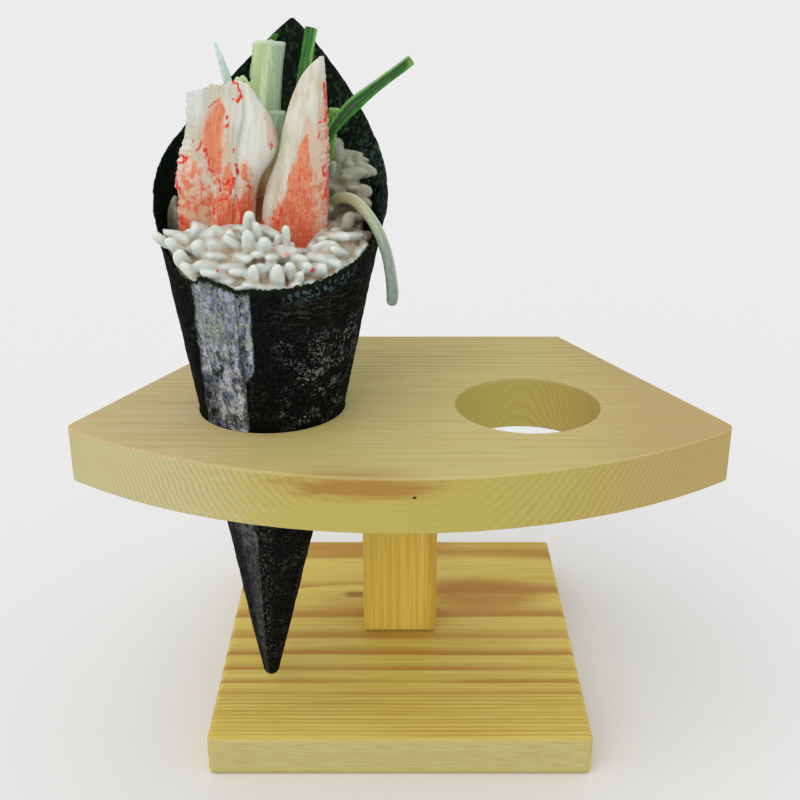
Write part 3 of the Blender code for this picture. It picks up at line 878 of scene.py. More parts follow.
def in_stick(x, y):
    return any(left < x < right and front < y < back for left, right, front, back in STICKS)


def heap_bed(sink):
    """The open top of the heap, with holes for the sticks."""
    shape = bmesh.new()
    rows = [[shape.verts.new(point) for point in ring] for ring in heap_rings(sink, 20)]
    for outer, inner in zip(rows, rows[1:]):
        for i in range(len(outer)):
            j = (i + 1) % len(outer)
            shape.faces.new((outer[i], outer[j], inner[j], inner[i]))
    shape.faces.new(rows[-1])
    standing = [face for face in shape.faces if in_stick(*face.calc_center_median().xy)]
    bmesh.ops.delete(shape, geom=standing, context="FACES")
    return as_mesh("heap_bed", shape)


def keep_inside(mesh):
    """Draw points that would pass through the sheet back inside it; over the rim they may lean out."""
    for vert in mesh.vertices:
        side = math.degrees(math.atan2(vert.co.y, vert.co.x))
        over = max(0.0, vert.co.z - rim_height(side))
        reach = wrap_point(side, vert.co.z - over, -SHEET_GAP).xy.length + OVERHANG * over
        if vert.co.xy.length > reach:
            vert.co.xy *= reach / vert.co.xy.length


laid = grow("laid_grains", GRAINS_RULE, {**GRAINS, "Finish": GRAIN_FINISH}, heap_bed(BED_DEPTH))
keep_inside(laid)
print("laid grains:", len(laid.polygons), "faces")

# %% [markdown]
# ## Grains placed one by one
#
# Some forty grains make the heap's outline, so each has its own place: one stands upright before the crab
# sticks, one sticks out over the rim at the left, three stand at the front edge like little teeth, a smooth
# clump sits at the right, and some lie high behind it and at the left wall.
#
# Cooked grains stick together. So all of them, with a thin cushion of rice under them, are merged into one
# skin. Then a small tree finds the seams: it blurs the skin, and where the blurred skin lies above the real
# one, there is a hollow. The finish paints these hollows tan as painted shade, and the crests paler as a
# painted highlight.

# %% Standing grains
PLACED_GRAINS = (  # x, y, z of the middle, length, width, lean to the right and lean to the back in degrees
    (-22.5, -12.5, 117, 5.5, 2.4, -52, 0),
    (-19.5, -14, 116, 5.5, 3, -50, -10),
    (-18, -12.5, 117, 4.5, 3.5, 70, -10),
    (-17.5, -16, 113.5, 6, 3.5, -30, -15),
    (-15.5, -18, 111.8, 5.5, 3, -50, -15),
    (-15.5, -12.5, 118.8, 4.5, 2.6, 12, -10),
    (-13, -12.5, 118, 6, 3.8, 70, -10),
    (-10, -12.5, 118.5, 6, 3.8, 105, -10),
    (-11.5, -14, 116, 8, 4.6, 85, -10),
    (-8.5, -14.5, 116.5, 5.5, 3.6, 20, -10),
    (-14, -15, 115.5, 5.5, 3.6, -25, -15),
    (-12.5, -18, 113, 6.5, 3, 80, 0),
    (-10, -19.5, 111.8, 7, 2.4, 97, 0),
    (-6, -17.5, 113.5, 7, 3, 35, -15),
    (-7, -14.5, 117, 7, 3, -18, -5),
    (-4, -13.2, 121, 7, 2.8, 3, -5),
    (-3.5, -16.5, 117, 8, 3.3, -3, -8),
    (-2, -14, 119, 6.5, 2.2, -6, -5),
    (0, -16.5, 115.5, 9.5, 4, -5, -15),
    (-0.5, -20, 112, 6.5, 3.5, 0, -15),
    (-2, -22.3, 112.5, 6, 2.8, 2, -6),
    (3, -22.3, 112.5, 6, 3.3, -3, -6),
    (2, -13.5, 117.5, 4.5, 2, 8, -5),
    (4, -14, 119, 6, 2.1, 2, -5),
    (4, -15.5, 115.5, 6.5, 4.8, 85, -15),
    (7, -17.5, 115, 4.5, 3, 85, -20),
    (5.5, -20.5, 113.5, 4.8, 2.5, -8, -15),
    (7.5, -21, 112, 4, 2, 10, -10),
    (8, -19, 113.8, 5, 3, 50, -20),
    (11.2, -13, 117, 5, 2.6, 70, -10),
    (13, -13, 116, 6.5, 4.4, 55, -15),
    (11.5, -15, 114.5, 7.5, 3.8, 105, -20),
    (15, -12.5, 114, 5.5, 3.6, 30, -20),
    (10.5, -18, 113, 6.5, 3.4, 65, -20),
    (17.5, -9, 114, 5, 3, 140, -10),
    (16.5, -2, 120, 5, 3.4, 10, 0),
    (12.5, 6, 129.5, 4.5, 2.8, 0, 0),
    (15.5, 8, 130.5, 4.5, 2.4, 20, 0),
    (18, 9, 131, 5, 2.4, 5, 0),
    (20, 8, 130, 5.5, 2.6, 110, 0),
    (16, 6, 128, 9.5, 3.6, 62, 0),
    (14.5, 5, 125.5, 6.5, 3.6, 50, 0),
    (19, 5, 125.5, 5.5, 3.2, 100, 0),
    (19, 3, 123, 5.5, 3.6, 80, 0),
    (-22.6, 3, 118.5, 9.5, 3, 8, 0),
    (-21.2, 1, 117, 7.5, 3, -6, 0),
)


def single_grain(x, y, z, length, width, lean_right, lean_back):
    """One grain: plump ends, a flatter back, and a little uneven all over."""
    shape = bmesh.new()
    bmesh.ops.create_uvsphere(shape, u_segments=24, v_segments=16, radius=0.5)
    for vert in shape.verts:
        squeeze = 0.95 + 0.35 * abs(2.0 * vert.co.z) ** 3
        thin = width * squeeze * (0.9 if vert.co.y < 0.0 else 0.75)
        vert.co = Vector((vert.co.x * width * squeeze, vert.co.y * thin, vert.co.z * length))
    to_right = Matrix.Rotation(math.radians(lean_right), 4, "Y")
    to_back = Matrix.Rotation(math.radians(-lean_back), 4, "X")
    shape.transform(Matrix.Translation((x, y, z)) @ (to_right @ to_back))
    for vert in shape.verts:
        vert.co += noise.noise_vector(vert.co * 0.3) * min(0.6, width * 0.14)
    return as_mesh("single_grain", shape)


singles = [single_grain(*row) for row in PLACED_GRAINS]
print("placed grains:", len(singles))


# %% One sticky heap
CUSHION_DEPTH, CUSHION_THICKNESS = 0.9, 1.6
STICKING = 0.34  # size of the cells in which touching grains merge
HOLLOWS = {"Blur steps": 16}


def heap_cushion():
    """A thin lens just under the grains, so that they grow out of one soft mass."""
    low = CUSHION_DEPTH + CUSHION_THICKNESS
    under, over = heap_rings(low, 14), heap_rings(CUSHION_DEPTH, 14)
    foot, crown = [[(0.0, 0.0, heap_at(0.0, 0.0) - depth)] for depth in (low, CUSHION_DEPTH)]
    return loft("heap_cushion", [foot] + under[::-1] + over + [crown])


def stick_together(mesh):
    """Merge touching grains into sticky clumps, with soft seams between them."""
    holder = in_scene("sticky", mesh)
    merge = holder.modifiers.new("merge", "REMESH")
    merge.mode = "VOXEL"
    merge.voxel_size = STICKING
    soften = holder.modifiers.new("soften", "SMOOTH")
    soften.factor = 0.5
    soften.iterations = 1
    return applied(holder, "sticky")


def hollows_rule():
    """Each point stores how far a blurred copy of the surface lies above it: more than nothing in a seam."""
    tree, rule = new_rule("find_hollows", HOLLOWS)
    at = rule["Base"].node("GeometryNodeInputPosition")
    smooth = {"Value": at, "Iterations": rule["Blur steps"]}
    blurred = at.node("GeometryNodeBlurAttribute", smooth, data_type="FLOAT_VECTOR")
    outward = at.node("GeometryNodeInputNormal")
    depth = at.vector("DOT_PRODUCT", at.vector("SUBTRACT", blurred, at), outward)["Value"]
    return end_rule(tree, keep(rule["Base"], "hollow", depth, data_type="FLOAT"), rule["Finish"])


sticky = stick_together(join("rice_grains", heap_cushion(), laid, *singles))
grains_mesh = grow("rice_grains", hollows_rule(), {**HOLLOWS, "Finish": GRAIN_FINISH}, sticky)
mark(grains_mesh, "sunk", lambda x, y, z: heap_at(x, y) - z)
depths = [point.value for point in grains_mesh.attributes["hollow"].data]
print("hollows from", round(min(depths), 2), "to", round(max(depths), 2), "mm")
add_piece("rice_grains", grains_mesh, GRAIN_FINISH, "rice", "rice")

# %% [markdown]
# ## Sticks as lofts of stations
#
# The crab sticks and cucumber strips stand upright, so each is described by stations up its height, each
# with its left and right side, its middle in depth and half its depth. A smooth curve through the stations
# gives as many rings as the fine surface needs. The section is a superellipse, between a box and an oval.
# After that every point may be moved: a torn end, a fold down the front, fibres.

# %% Rings from stations
CAP = ((0.98, 0.05), (0.93, 0.14), (0.8, 0.22), (0.55, 0.28), (0.25, 0.3))  # share of the width, dome
ROUND_CAP = ((0.97, 0.24), (0.87, 0.5), (0.7, 0.71), (0.5, 0.87), (0.26, 0.97))
BURIED = 2.0  # spacing of the rings below the rice
DENSE = 1200  # points from which evenly spaced ones are picked


def smooth_between(stations, level):
    """The stations' values at a level, on a smooth curve through them."""
    last = len(stations) - 2
    i = next((n for n in range(last) if stations[n + 1][0] > level), last)
    low, high = stations[i], stations[i + 1]
    before, after = stations[max(0, i - 1)], stations[min(len(stations) - 1, i + 2)]
    gap = high[0] - low[0]
    t = (level - low[0]) / gap
    values = []
    for k in range(1, len(low)):
        slope_low = (high[k] - before[k]) / (high[0] - before[0]) * gap
        slope_high = (after[k] - low[k]) / (after[0] - low[0]) * gap
        value = low[k] * (1 + 2 * t) * (1 - t) ** 2 + slope_low * t * (1 - t) ** 2
        values.append(value + high[k] * t * t * (3 - 2 * t) + slope_high * t * t * (t - 1))
    return values


def even_section(squareness, wide_to_deep, around):
    """Points evenly spaced round a superellipse, in parts of its half width and half depth."""
    dense = []
    for angle in turns(DENSE):
        wide = math.copysign(abs(math.cos(angle)) ** squareness, math.cos(angle))
        dense.append((wide, math.copysign(abs(math.sin(angle)) ** squareness, math.sin(angle))))
    lengths = [0.0]
    for (x0, y0), (x1, y1) in zip(dense, dense[1:] + dense[:1]):
        lengths.append(lengths[-1] + math.hypot((x1 - x0) * wide_to_deep, y1 - y0))
    section, n = [], 0
    for i in range(around):
        while lengths[n + 1] < lengths[-1] * i / around:
            n += 1
        section.append(dense[n])
    return section


def levels_between(low, high, fine_from, spacing):
    """Levels far apart below the rice and close together above it, then the cap's."""
    coarse = max(1, round((fine_from - low) / BURIED))
    fine = round((high - fine_from) / spacing)
    levels = [(low + (fine_from - low) * n / coarse, 1.0, 0.0) for n in range(coarse)]
    levels += [(fine_from + (high - fine_from) * n / fine, 1.0, 0.0) for n in range(fine + 1)]
    return levels + [(high, share, dome) for share, dome in CAP]


def upright_stick(name, stations, section, spacing, carve, fine_from=112.0):
    """An upright stick through (height, left, right, middle in depth, half depth) stations."""
    rings = []
    for level, share, dome in levels_between(stations[0][0], stations[-1][0], fine_from, spacing):
        left, right, middle, depth = smooth_between(stations, level)
        x_middle, half = (left + right) / 2, (right - left) / 2
        ring = []
        for wide, deep in section:
            point = Vector((x_middle + half * wide * share, middle + depth * deep * share, level + dome))
            ring.append(carve(point, wide * share, deep * share))
        rings.append(ring)
    centre = sum(rings[-1], Vector()) / len(rings[-1])
    return loft(name, rings + [[centre]])


def bent_strip(name, knots, section, spacing, uneven=0.2, cap=CAP):
    """A strip along (x, y, z, half width, half depth) knots; each point knows how far across it is."""
    stations, length = [], 0.0
    for i, knot in enumerate(knots):
        if i:
            length += (Vector(knot[:3]) - Vector(knots[i - 1][:3])).length
        stations.append((length, *knot))
    count = round(length / spacing)
    levels = [(0.0, share, -dome) for share, dome in reversed(cap)]
    levels += [(length * n / count, 1.0, 0.0) for n in range(count + 1)]
    levels += [(length, share, dome) for share, dome in cap]
    rings = []
    for level, share, dome in levels:
        x, y, z, half_width, half_depth = smooth_between(stations, level)
        low, high = max(0.0, level - 0.2), min(length, level + 0.2)
        ahead = Vector(smooth_between(stations, high)[:3]) - Vector(smooth_between(stations, low)[:3])
        ahead.normalize()
        across = Vector((ahead.z, 0.0, -ahead.x)).normalized()
        away = ahead.cross(across)
        middle = Vector((x, y, z)) + ahead * dome * half_depth
        ring = []
        for wide, deep in section:
            point = middle + across * (half_width * wide * share) + away * (half_depth * deep * share)
            ring.append(point + noise.noise_vector(point * 0.5) * uneven)
        rings.append(ring)
    ends = [sum(ring, Vector()) / len(ring) for ring in (rings[0], rings[-1])]
    mesh = loft(name, [[ends[0]]] + rings + [[ends[1]]])
    store(mesh, "across", [0.0] + [wide for wide, _ in section] * len(rings) + [0.0])
    return mesh


def line_at(line, z):
    """Where a line of (x, z) points is at a height."""
    points = sorted(line, key=lambda point: point[1])
    if z <= points[0][1]:
        return points[0][0]
    for (x0, z0), (x1, z1) in zip(points, points[1:]):
        if z <= z1:
            return x0 + (x1 - x0) * (z - z0) / (z1 - z0)
    return points[-1][0]


def stray(x, y, z):
    """Smooth noise from about -1 to 1, for small departures from a shape."""
    return noise.noise(Vector((x, y, z)))


print("stick helpers are ready")

# %% [markdown]
# ## The crab sticks' shapes
#
# Surimi, the crab stick, is white fish pressed into fibres and stained red on its skin. The left one is a
# wide slab folded lengthwise, so a groove runs down its front with a rounded strip at the right of it, and
# its top end is torn. The right one is cut on the slant: it ends in a point and its front is a ridge between
# two flat facets. Its right edge is notched by the knife.

# %% Crab stick shapes
CRAB_LEFT = (
    (72, -9.5, -3.5, -1, 3.5),
    (84, -12.5, -3.4, -1.5, 4),
    (96, -15.5, -3.4, -2, 4.3),
    (108, -18.4, -3.4, -2, 4.5),
    (118, -20.3, -3.8, -2, 4.5),
    (124.7, -20.5, -3.6, -2, 4.5),
    (127, -20.9, -3.1, -2, 4.5),
    (130.2, -20.5, -1.9, -2, 4.5),
    (133.4, -19.9, 0.3, -2, 4.4),
    (136.2, -19.2, 1.2, -2, 4.3),
    (140.4, -18.4, 0.2, -2, 4.1),
    (143.6, -18.3, -1.5, -2, 3.8),
    (146, -18.3, -3.4, -2, 3.4),
    (147, -18.2, -4.4, -2, 3.2),
)
LEFT_FOLD = ((-5.7, 142.5), (-6.5, 138.9), (-7, 135.8), (-7, 130.2), (-7.9, 122.2), (-8.6, 110))
LEFT_TOP = (  # height of the torn end, at each x
    (147.3, -18.1),
    (147.6, -13.5),
    (148.7, -12.9),
    (148.6, -10),
    (149.6, -8.6),
    (149.8, -7.7),
    (149.1, -4.8),
    (148.4, -3.4),
)
CRAB_RIGHT = (
    (78, 1.5, 9.5, -2.5, 3.2),
    (92, -0.6, 10.8, -3, 4),
    (106, -1.8, 12, -3, 4.4),
    (119, -2.2, 12.2, -3, 4.5),
    (123.5, -2, 12.3, -3, 4.5),
    (128.6, -0.9, 12.2, -3, 4.4),
    (132.8, 0.7, 12.1, -3.2, 4),
    (135.6, 1.5, 12.1, -3.3, 3.8),
    (140.8, 2.4, 11.8, -3.4, 3.5),
    (146.2, 3.9, 11.5, -3.6, 2.9),
    (151, 6, 11.1, -3.8, 2),
    (153.6, 8, 10.9, -4, 1.1),
    (155, 9.6, 10.7, -4, 0.5),
)
RIGHT_RIDGE = ((10.6, 149.8), (7.9, 144.8), (6.7, 139.7), (4.1, 132.7), (2.4, 126.1), (1.6, 120.2), (1, 108))
CARVED_FROM = 112.0  # nothing is carved below this height, deep in the rice
GROOVE_DEPTH, GROOVE_WIDTH = 0.9, 0.4  # along the left stick's fold
STRIP_RISE, STRIP_REACH = 1.0, 1.6  # the rounded strip at the right of it
SLAB_HOLLOW, HOLLOW_FROM_FOLD, HOLLOW_WIDTH = 0.7, 4.5, 2.2
LEFT_FACET, RIGHT_FACET = 0.5, 0.14  # slopes on both sides of the right stick's ridge
RIDGE_RISE, RIDGE_ROUNDING = 0.6, 0.3


def carve_left(point, wide, deep):
    """The left stick's fold, its fibres, its torn end and its ragged left edge."""
    x, y, z = point
    above = smoothstep((z - CARVED_FROM) / 6.0)
    if deep < 0.0:
        from_fold = x - line_at(LEFT_FOLD, z)
        fade = above * smoothstep((149.0 - z) / 9.0) * -deep
        y += GROOVE_DEPTH * math.exp(-((from_fold / GROOVE_WIDTH) ** 2)) * fade
        strip = smoothstep(from_fold / STRIP_REACH) * (1.0 - smoothstep((wide - 0.6) / 0.4))
        y -= STRIP_RISE * strip * fade
        y += SLAB_HOLLOW * math.exp(-(((from_fold + HOLLOW_FROM_FOLD) / HOLLOW_WIDTH) ** 2)) * fade
    y += (stray(x * 0.3, 3.0, z * 0.09) * 0.9 + stray(x * 1.5, 9.0, z * 0.15) * 0.16) * above
    rag = stray(x * 1.3, y * 0.6, 1.0) * 0.45
    z += (line_at(LEFT_TOP, x) - 147.0 + rag - 0.42 * (y + 5.2)) * smoothstep((z - 141.0) / 6.0)
    if wide < -0.75:
        x += stray(1.0, y * 0.4, z * 1.1) * 0.55 * above
    return Vector((x, y, z))


def carve_right(point, wide, deep):
    """The right stick's ridge between two facets, its fibres and its notched right edge."""
    x, y, z = point
    above = smoothstep((z - CARVED_FROM) / 6.0)
    if deep < 0.0:
        from_ridge = x - line_at(RIGHT_RIDGE, z)
        slope = LEFT_FACET if from_ridge < 0.0 else RIGHT_FACET
        away = math.sqrt(from_ridge**2 + RIDGE_ROUNDING) * slope - RIDGE_RISE
        y += away * -deep * above * smoothstep((157.0 - z) / 12.0)
    y += (stray(x * 0.4, 5.0, z * 0.1) * 0.4 + stray(x * 1.6, 2.0, z * 0.2) * 0.12) * above
    if wide > 0.75:
        x += stray(4.0, y * 0.3, z * 1.2) * 0.5 * above * (1.0 if 131.0 < z < 143.0 else 0.35)
    return Vector((x, y, z))


crab_left = upright_stick("crab_left", CRAB_LEFT, even_section(0.55, 2.1, 240), 0.2, carve_left)
crab_right = upright_stick("crab_right", CRAB_RIGHT, even_section(0.7, 1.7, 170), 0.2, carve_right)
print("crab sticks:", len(crab_left.polygons), "and", len(crab_right.polygons), "faces")

# %% [markdown]
# ## Where the red skin shows
#
# The stain is only on the stick's skin. Where the layers tear, patches, threads and curls of it show on the
# cream flesh. Each is a stroke: points on the stick with a half width at each for a patch, or one half width
# for a whole thin thread. Every point of the mesh looks for the nearest stroke and stores how deep in it the
# point lies.

# %% Strokes of stain
LEFT_WASH = (  # x, z and half width of each point
    ((-11, 145, 1), (-12, 140.5, 3), (-12.5, 135.5, 3), (-11.5, 129.5, 2)),
    ((-18, 133.5, 1.5), (-17, 129.5, 3), (-16, 124.5, 4.5), (-16.5, 118, 4.5)),
    ((-9.5, 131, 1.5), (-10, 126, 2), (-10, 118, 3)),
    ((-5.5, 133, 1), (-5, 128, 2), (-5.5, 118, 3)),
    ((-1, 143, 0.7), (0, 140, 1.2), (0, 137, 0.7)),
)
LEFT_ORANGE = (
    ((-11, 145.5, 0.4), (-11, 143.5, 1.3), (-12, 140.5, 2), (-12.5, 137.5, 2.3), (-12, 134, 1.7)),
    ((-12, 134, 1.7), (-11.5, 130.5, 0.7)),
    ((-9, 132.5, 0.4), (-9, 130.5, 1), (-9.5, 127.5, 1)),
    ((-10, 124.5, 1.6), (-10, 117, 2.2)),
    ((-5.5, 132.5, 0.5), (-5.5, 130.5, 0.6), (-5, 129, 0.3)),
    ((-4.5, 127, 0.4), (-5.5, 124, 1.8), (-6, 117, 2.8)),
    ((0.5, 141.5, 0.3), (0.5, 140.5, 0.5), (0.5, 139, 0.3)),
    ((-19.5, 120.5, 0.5), (-19, 119, 1.5), (-19, 116, 1.8)),
    ((-16, 132.5, 0.5), (-16.5, 131, 0.7), (-16.5, 129.5, 0.3)),
    ((-13, 125.5, 0.7), (-13.5, 124, 1), (-15, 124, 0.4)),
)
LEFT_THREADS = (  # half width, then x and z of each point
    (0.22, (-13, 144), (-12, 145), (-10.5, 146)),
    (0.3, (-8, 149.5), (-7, 149), (-6.5, 147.5), (-6.5, 146.5), (-7, 145.5), (-8, 146)),
    (0.26, (-10, 143), (-9.5, 142.5), (-9, 141), (-9.5, 140), (-10, 140)),
    (0.36, (-8, 135.5), (-8, 135)),
    (0.36, (-20, 133.5), (-19, 133.5), (-18, 133), (-19, 132), (-20, 132)),
    (0.45, (-20.5, 130), (-20.5, 128), (-20, 126.5)),
    (0.22, (-20, 126.5), (-19.5, 124.5)),
    (0.2, (-16.5, 137.5), (-17, 136.5)),
    (0.24, (-14.5, 137), (-16, 134.5)),
    (0.28, (-14, 135.5), (-13, 131.5), (-11, 128.5), (-11, 126.5)),
    (0.2, (-7.5, 132.5), (-7, 130)),
    (0.45, (-8, 129.5), (-8.5, 126)),
    (0.25, (-9, 129.5), (-9.5, 128), (-10, 128)),
    (0.22, (-14, 128), (-13.5, 128), (-14, 127)),
    (0.28, (-14.5, 128), (-15, 127), (-14.5, 126.5)),
    (0.44, (-12, 124.5), (-12.5, 121.5)),
    (0.25, (-11, 124.5), (-9.5, 125)),
    (0.44, (-5, 128), (-4.5, 127.5)),
    (0.2, (-17, 125.5), (-16, 124)),
    (0.25, (0, 137), (0, 136)),
    (0.34, (-19.5, 120.5), (-19.5, 119)),
    (0.24, (-7.5, 125.5), (-6.5, 123), (-6, 118.5)),
)
RIGHT_WASH = (
    ((7.5, 142.5, 0.7), (8.5, 138.5, 1.8), (8.5, 133.5, 3.2), (8, 128.5, 4.6), (7, 122.5, 5.8), (6, 114, 7)),
    ((10.5, 146, 0.7), (10.5, 139, 1.4), (10.5, 132, 1.6), (10.5, 125, 1.6)),
)
RIGHT_ORANGE = (
    ((7.5, 139.5, 0.3), (7, 137.5, 0.8), (7, 134, 1.5), (6.5, 131.5, 2), (6, 127.5, 2.6)),
    ((6, 127.5, 2.6), (5.5, 124, 3.2), (5, 121, 4.7), (4.5, 114, 6.5)),
    ((-1.5, 118.5, 0.7), (-0.5, 115, 1.3)),
)
RIGHT_THREADS = (
    (0.34, (11, 150), (11.5, 146.5), (11.5, 142.5)),
    (0.28, (11.5, 142.5), (10, 142)),
    (0.27, (10.5, 140), (10, 139)),
    (0.23, (12, 133.5), (11, 132.5), (11, 131), (11.5, 130.5)),
    (0.28, (12, 128), (11, 125.5)),
    (0.28, (0.5, 121.5), (0.5, 121)),
    (0.35, (-2, 120), (-1.5, 119), (-1, 116.5)),
    (0.46, (2, 121), (1.5, 117)),
    (0.2, (2.5, 125.5), (2, 121)),
    (0.2, (4, 131), (4, 130)),
)
FRONT_FACE = -2.6  # strokes lie on the skin in front of this depth
FADE = 2.4  # over so many millimetres they thin out where the skin turns to the side
STAINED_FROM = 110.0  # nothing is painted below this height, deep in the rice


def as_strokes(threads):
    """Threads as strokes, each as wide all along."""
    return [[(x, z, half_width) for x, z in points] for half_width, *points in threads]


def depth_in_strokes(x, z, strokes):
    """One inside a stroke, falling to nothing past its edge, for whole rows of points at once."""
    deepest = numpy.zeros(len(x))
    for stroke in strokes:
        for (x0, z0, w0), (x1, z1, w1) in zip(stroke, stroke[1:]):
            run, rise = x1 - x0, z1 - z0
            t = numpy.clip(((x - x0) * run + (z - z0) * rise) / (run * run + rise * rise), 0.0, 1.0)
            reach = numpy.hypot(x - x0 - run * t, z - z0 - rise * t) / (w0 + (w1 - w0) * t)
            fall = numpy.clip(reach - 0.5, 0.0, 1.0)
            deepest = numpy.maximum(deepest, 1.0 - fall * fall * (3.0 - 2.0 * fall))
    return deepest


def paint(mesh, **layers):
    """Store each layer of strokes at the points that face the front; noise makes their outlines stray."""
    points = numpy.array([vert.co for vert in mesh.vertices])
    coarse = [stray(p.co.x * 1.1, 0.0, p.co.z * 0.4) * 0.4 for p in mesh.vertices]
    finer = [stray(p.co.x * 2.4, 5.0, p.co.z * 1.3) * 0.3 for p in mesh.vertices]
    x, z = points[:, 0] + coarse + finer, points[:, 2] + finer
    front = numpy.clip((FRONT_FACE - points[:, 1]) / FADE, 0.0, 1.0) * (points[:, 2] > STAINED_FROM)
    for name, strokes in layers.items():
        store(mesh, name, (depth_in_strokes(x, z, strokes) * front).astype(numpy.float32))


paint(crab_left, wash=LEFT_WASH, orange=LEFT_ORANGE, red=as_strokes(LEFT_THREADS))
paint(crab_right, wash=RIGHT_WASH, orange=RIGHT_ORANGE, red=as_strokes(RIGHT_THREADS))
print("threads:", len(LEFT_THREADS), "on the left stick,", len(RIGHT_THREADS), "on the right")

# %% [markdown]
# ## The crab sticks' finish
#
# The flesh is cream, in long fibres. Over it lie three layers of stain, each sharper and redder than the one
# below: a pale wash that breaks into scraps lower down, orange patches drawn out along the fibres, and red
# threads. Where a stick's side shows, its skin is streaked with red as well.

# %% Surimi
def flesh_of_crab(at, fibres):
    """Cream flesh: fibres, warmer streaks, and paler where the left stick folds and ends."""
    x, _, z = parts(at)
    broad = mottle(at, (2.6, 2.6, 8), 3, 4, 0.4)
    fold = edge(x, -7.3, -6.6) * edge(x, 0.2, -1) * edge(z, 128, 133)
    return coats(
        blend((194, 188, 164), (212, 211, 198), edge(broad, 0.36, 0.6)),
        ((188, 172, 136), edge(mottle(at, (1.2, 1.2, 9), 2, 14), 0.54, 0.7) * 0.5),
        ((220, 220, 210), edge(fibres, 0.52, 0.7) * 0.5),
        ((220, 222, 214), fold * 0.7),
        ((212, 214, 212), edge(x, -11, -16) * edge(z, 136, 145) * 0.8),
    )


def crab_finish():
    made, shader, start = new_finish(
        "surimi",
        Specular_IOR_Level=0.35,
        Subsurface_Weight=0.25,
        Subsurface_Radius=(1.0, 0.6, 0.45),
        Subsurface_Scale=0.001,
    )
    at = on_roll(start)
    x, _, z = parts(at)
    fibres = mottle(at, (0.3, 0.6, 5), 3, 2, 0.3)
    blots = mottle(at, (1.2, 1.2, 2.2), 3, 8, 0.6)
    grain = mottle(at, (0.45, 0.45, 0.8), 3, 6, 0.6)
    wash = stored(start, "wash") + (blots - 0.5) * 1.8 + (fibres - 0.5) * 1.0
    scraps = edge(mottle(at, (1.3, 1.3, 1.9), 3, 21, 0.8), 0.5, 0.58) * edge(z, 137, 127)
    orange = stored(start, "orange") + (blots - 0.5) * 0.9 + (fibres - 0.5) * 0.9 + (grain - 0.5) * 0.5
    stain = coats(
        blend((222, 136, 94), (212, 92, 56), edge(blots + (130 - z) * 0.02, 0.4, 0.75)),
        ((204, 82, 46), edge(mottle(at, (0.7, 0.7, 1.5), 2, 12), 0.53, 0.64) * 0.5),
        ((232, 166, 136), edge(fibres * 0.5 + grain * 0.5, 0.5, 0.6) * 0.6),
    )
    red = stored(start, "red") + (grain - 0.5) * 1.2 + (blots - 0.5) * 1.2
    skin = blend((226, 84, 52), (218, 32, 18), edge(blots, 0.42, 0.58))
    face_x = parts(start.node("ShaderNodeNewGeometry")["Normal"])[0]
    right_side = edge(face_x, 0.7, 0.95) * edge(x, 4, 6) * edge(z, 151, 148)
    left_side = edge(face_x, -0.7, -0.95) * edge(x, -10, -14) * edge(z, 137, 132)
    streaks = edge(blots + fibres, 0.8, 1.15, 0.3, 0.95)
    colour = coats(
        flesh_of_crab(at, fibres),
        (
            blend((222, 178, 148), (220, 142, 110), edge(grain, 0.4, 0.6)),
            edge(wash, 0.1, 1.1) * edge(z, 136, 120, 0.45, 0.9),
        ),
        ((216, 98, 62), scraps * edge(wash, 0.3, 0.9) * 0.75),
        (stain, edge(orange, 0.1, 0.95)),
        (skin, edge(red, 0.3, 1)),
        (blend((224, 128, 92), skin, edge(blots, 0.36, 0.5)), (right_side + left_side) * streaks),
    )
    dress(shader, colour, edge(grain, 0.3, 0.7, 0.36, 0.5), fibres + grain * 0.4, 0.16)
    return made


CRAB_FINISH = count_nodes(crab_finish())
add_piece("crab_left", crab_left, CRAB_FINISH, "crab_stick", "crab_stick_left")
add_piece("crab_right", crab_right, CRAB_FINISH, "crab_stick", "crab_stick_right")

# %% [markdown]
# ## Cucumber, peel and daikon
#
# The tall strip is a cucumber baton seen from its wet, pale flesh, with crisp cut edges; a shorter one stands
# between the crab sticks. Three strips carry the dark green peel. A pale shred of daikon points up at the
# left, and a glassy strand arches over the nori's rim at the right and hangs down outside. A ruffled scrap of
# cucumber shows behind the left stick, and a green fleck clings to the nori near its peak. All but the
# batons are strips along a path, so one function makes them.

# %% Batons and strips
CUCUMBER = (
    (94, -6.4, 0.2, 12, 2.9),
    (125, -6.8, 0.1, 12, 3),
    (141.5, -6.8, 0.2, 12, 3),
    (150, -6.3, 0.6, 12.1, 3),
    (155.9, -5.6, 1.2, 12.2, 2.9),
)
CUCUMBER_SHORT = (
    (102, -5.2, 0.8, 5.6, 1.7),
    (124, -5.2, 0.8, 5.6, 1.8),
    (130, -4, 0.9, 5.6, 1.8),
    (136, -2.4, 1.4, 5.6, 1.8),
    (142, -1.6, 1.9, 5.6, 1.8),
)
BATONS_SHOW_FROM = 120.0
PEEL_BACK = ((-1.3, 19.3, 108), (1.3, 19.3, 125), (4.6, 19.6, 147), (6.4, 20, 158.8))
PEEL_LONG = (
    (7.6, 6.6, 112, 1, 0.9),
    (9.2, 6.4, 126, 1, 0.9),
    (10.6, 6.3, 134, 1, 0.9),
    (12.1, 6.2, 137.9, 1, 0.9),
    (13.4, 6.1, 140.1, 1.25, 1),
    (15.1, 6, 142.3, 1.5, 1.1),
    (17, 6, 144.4, 1.55, 1.1),
    (18.8, 6, 146, 1.4, 1.1),
    (20.9, 6, 147.8, 1.25, 1),
    (23.6, 6, 150, 1.15, 1),
    (26.3, 6, 152.1, 1.1, 1),
    (28.9, 6, 154.2, 1.1, 1),
)
PEEL_SHORT = ((10.6, 10.6, 120), (11.6, 10.4, 134), (12.4, 10.2, 142.4))
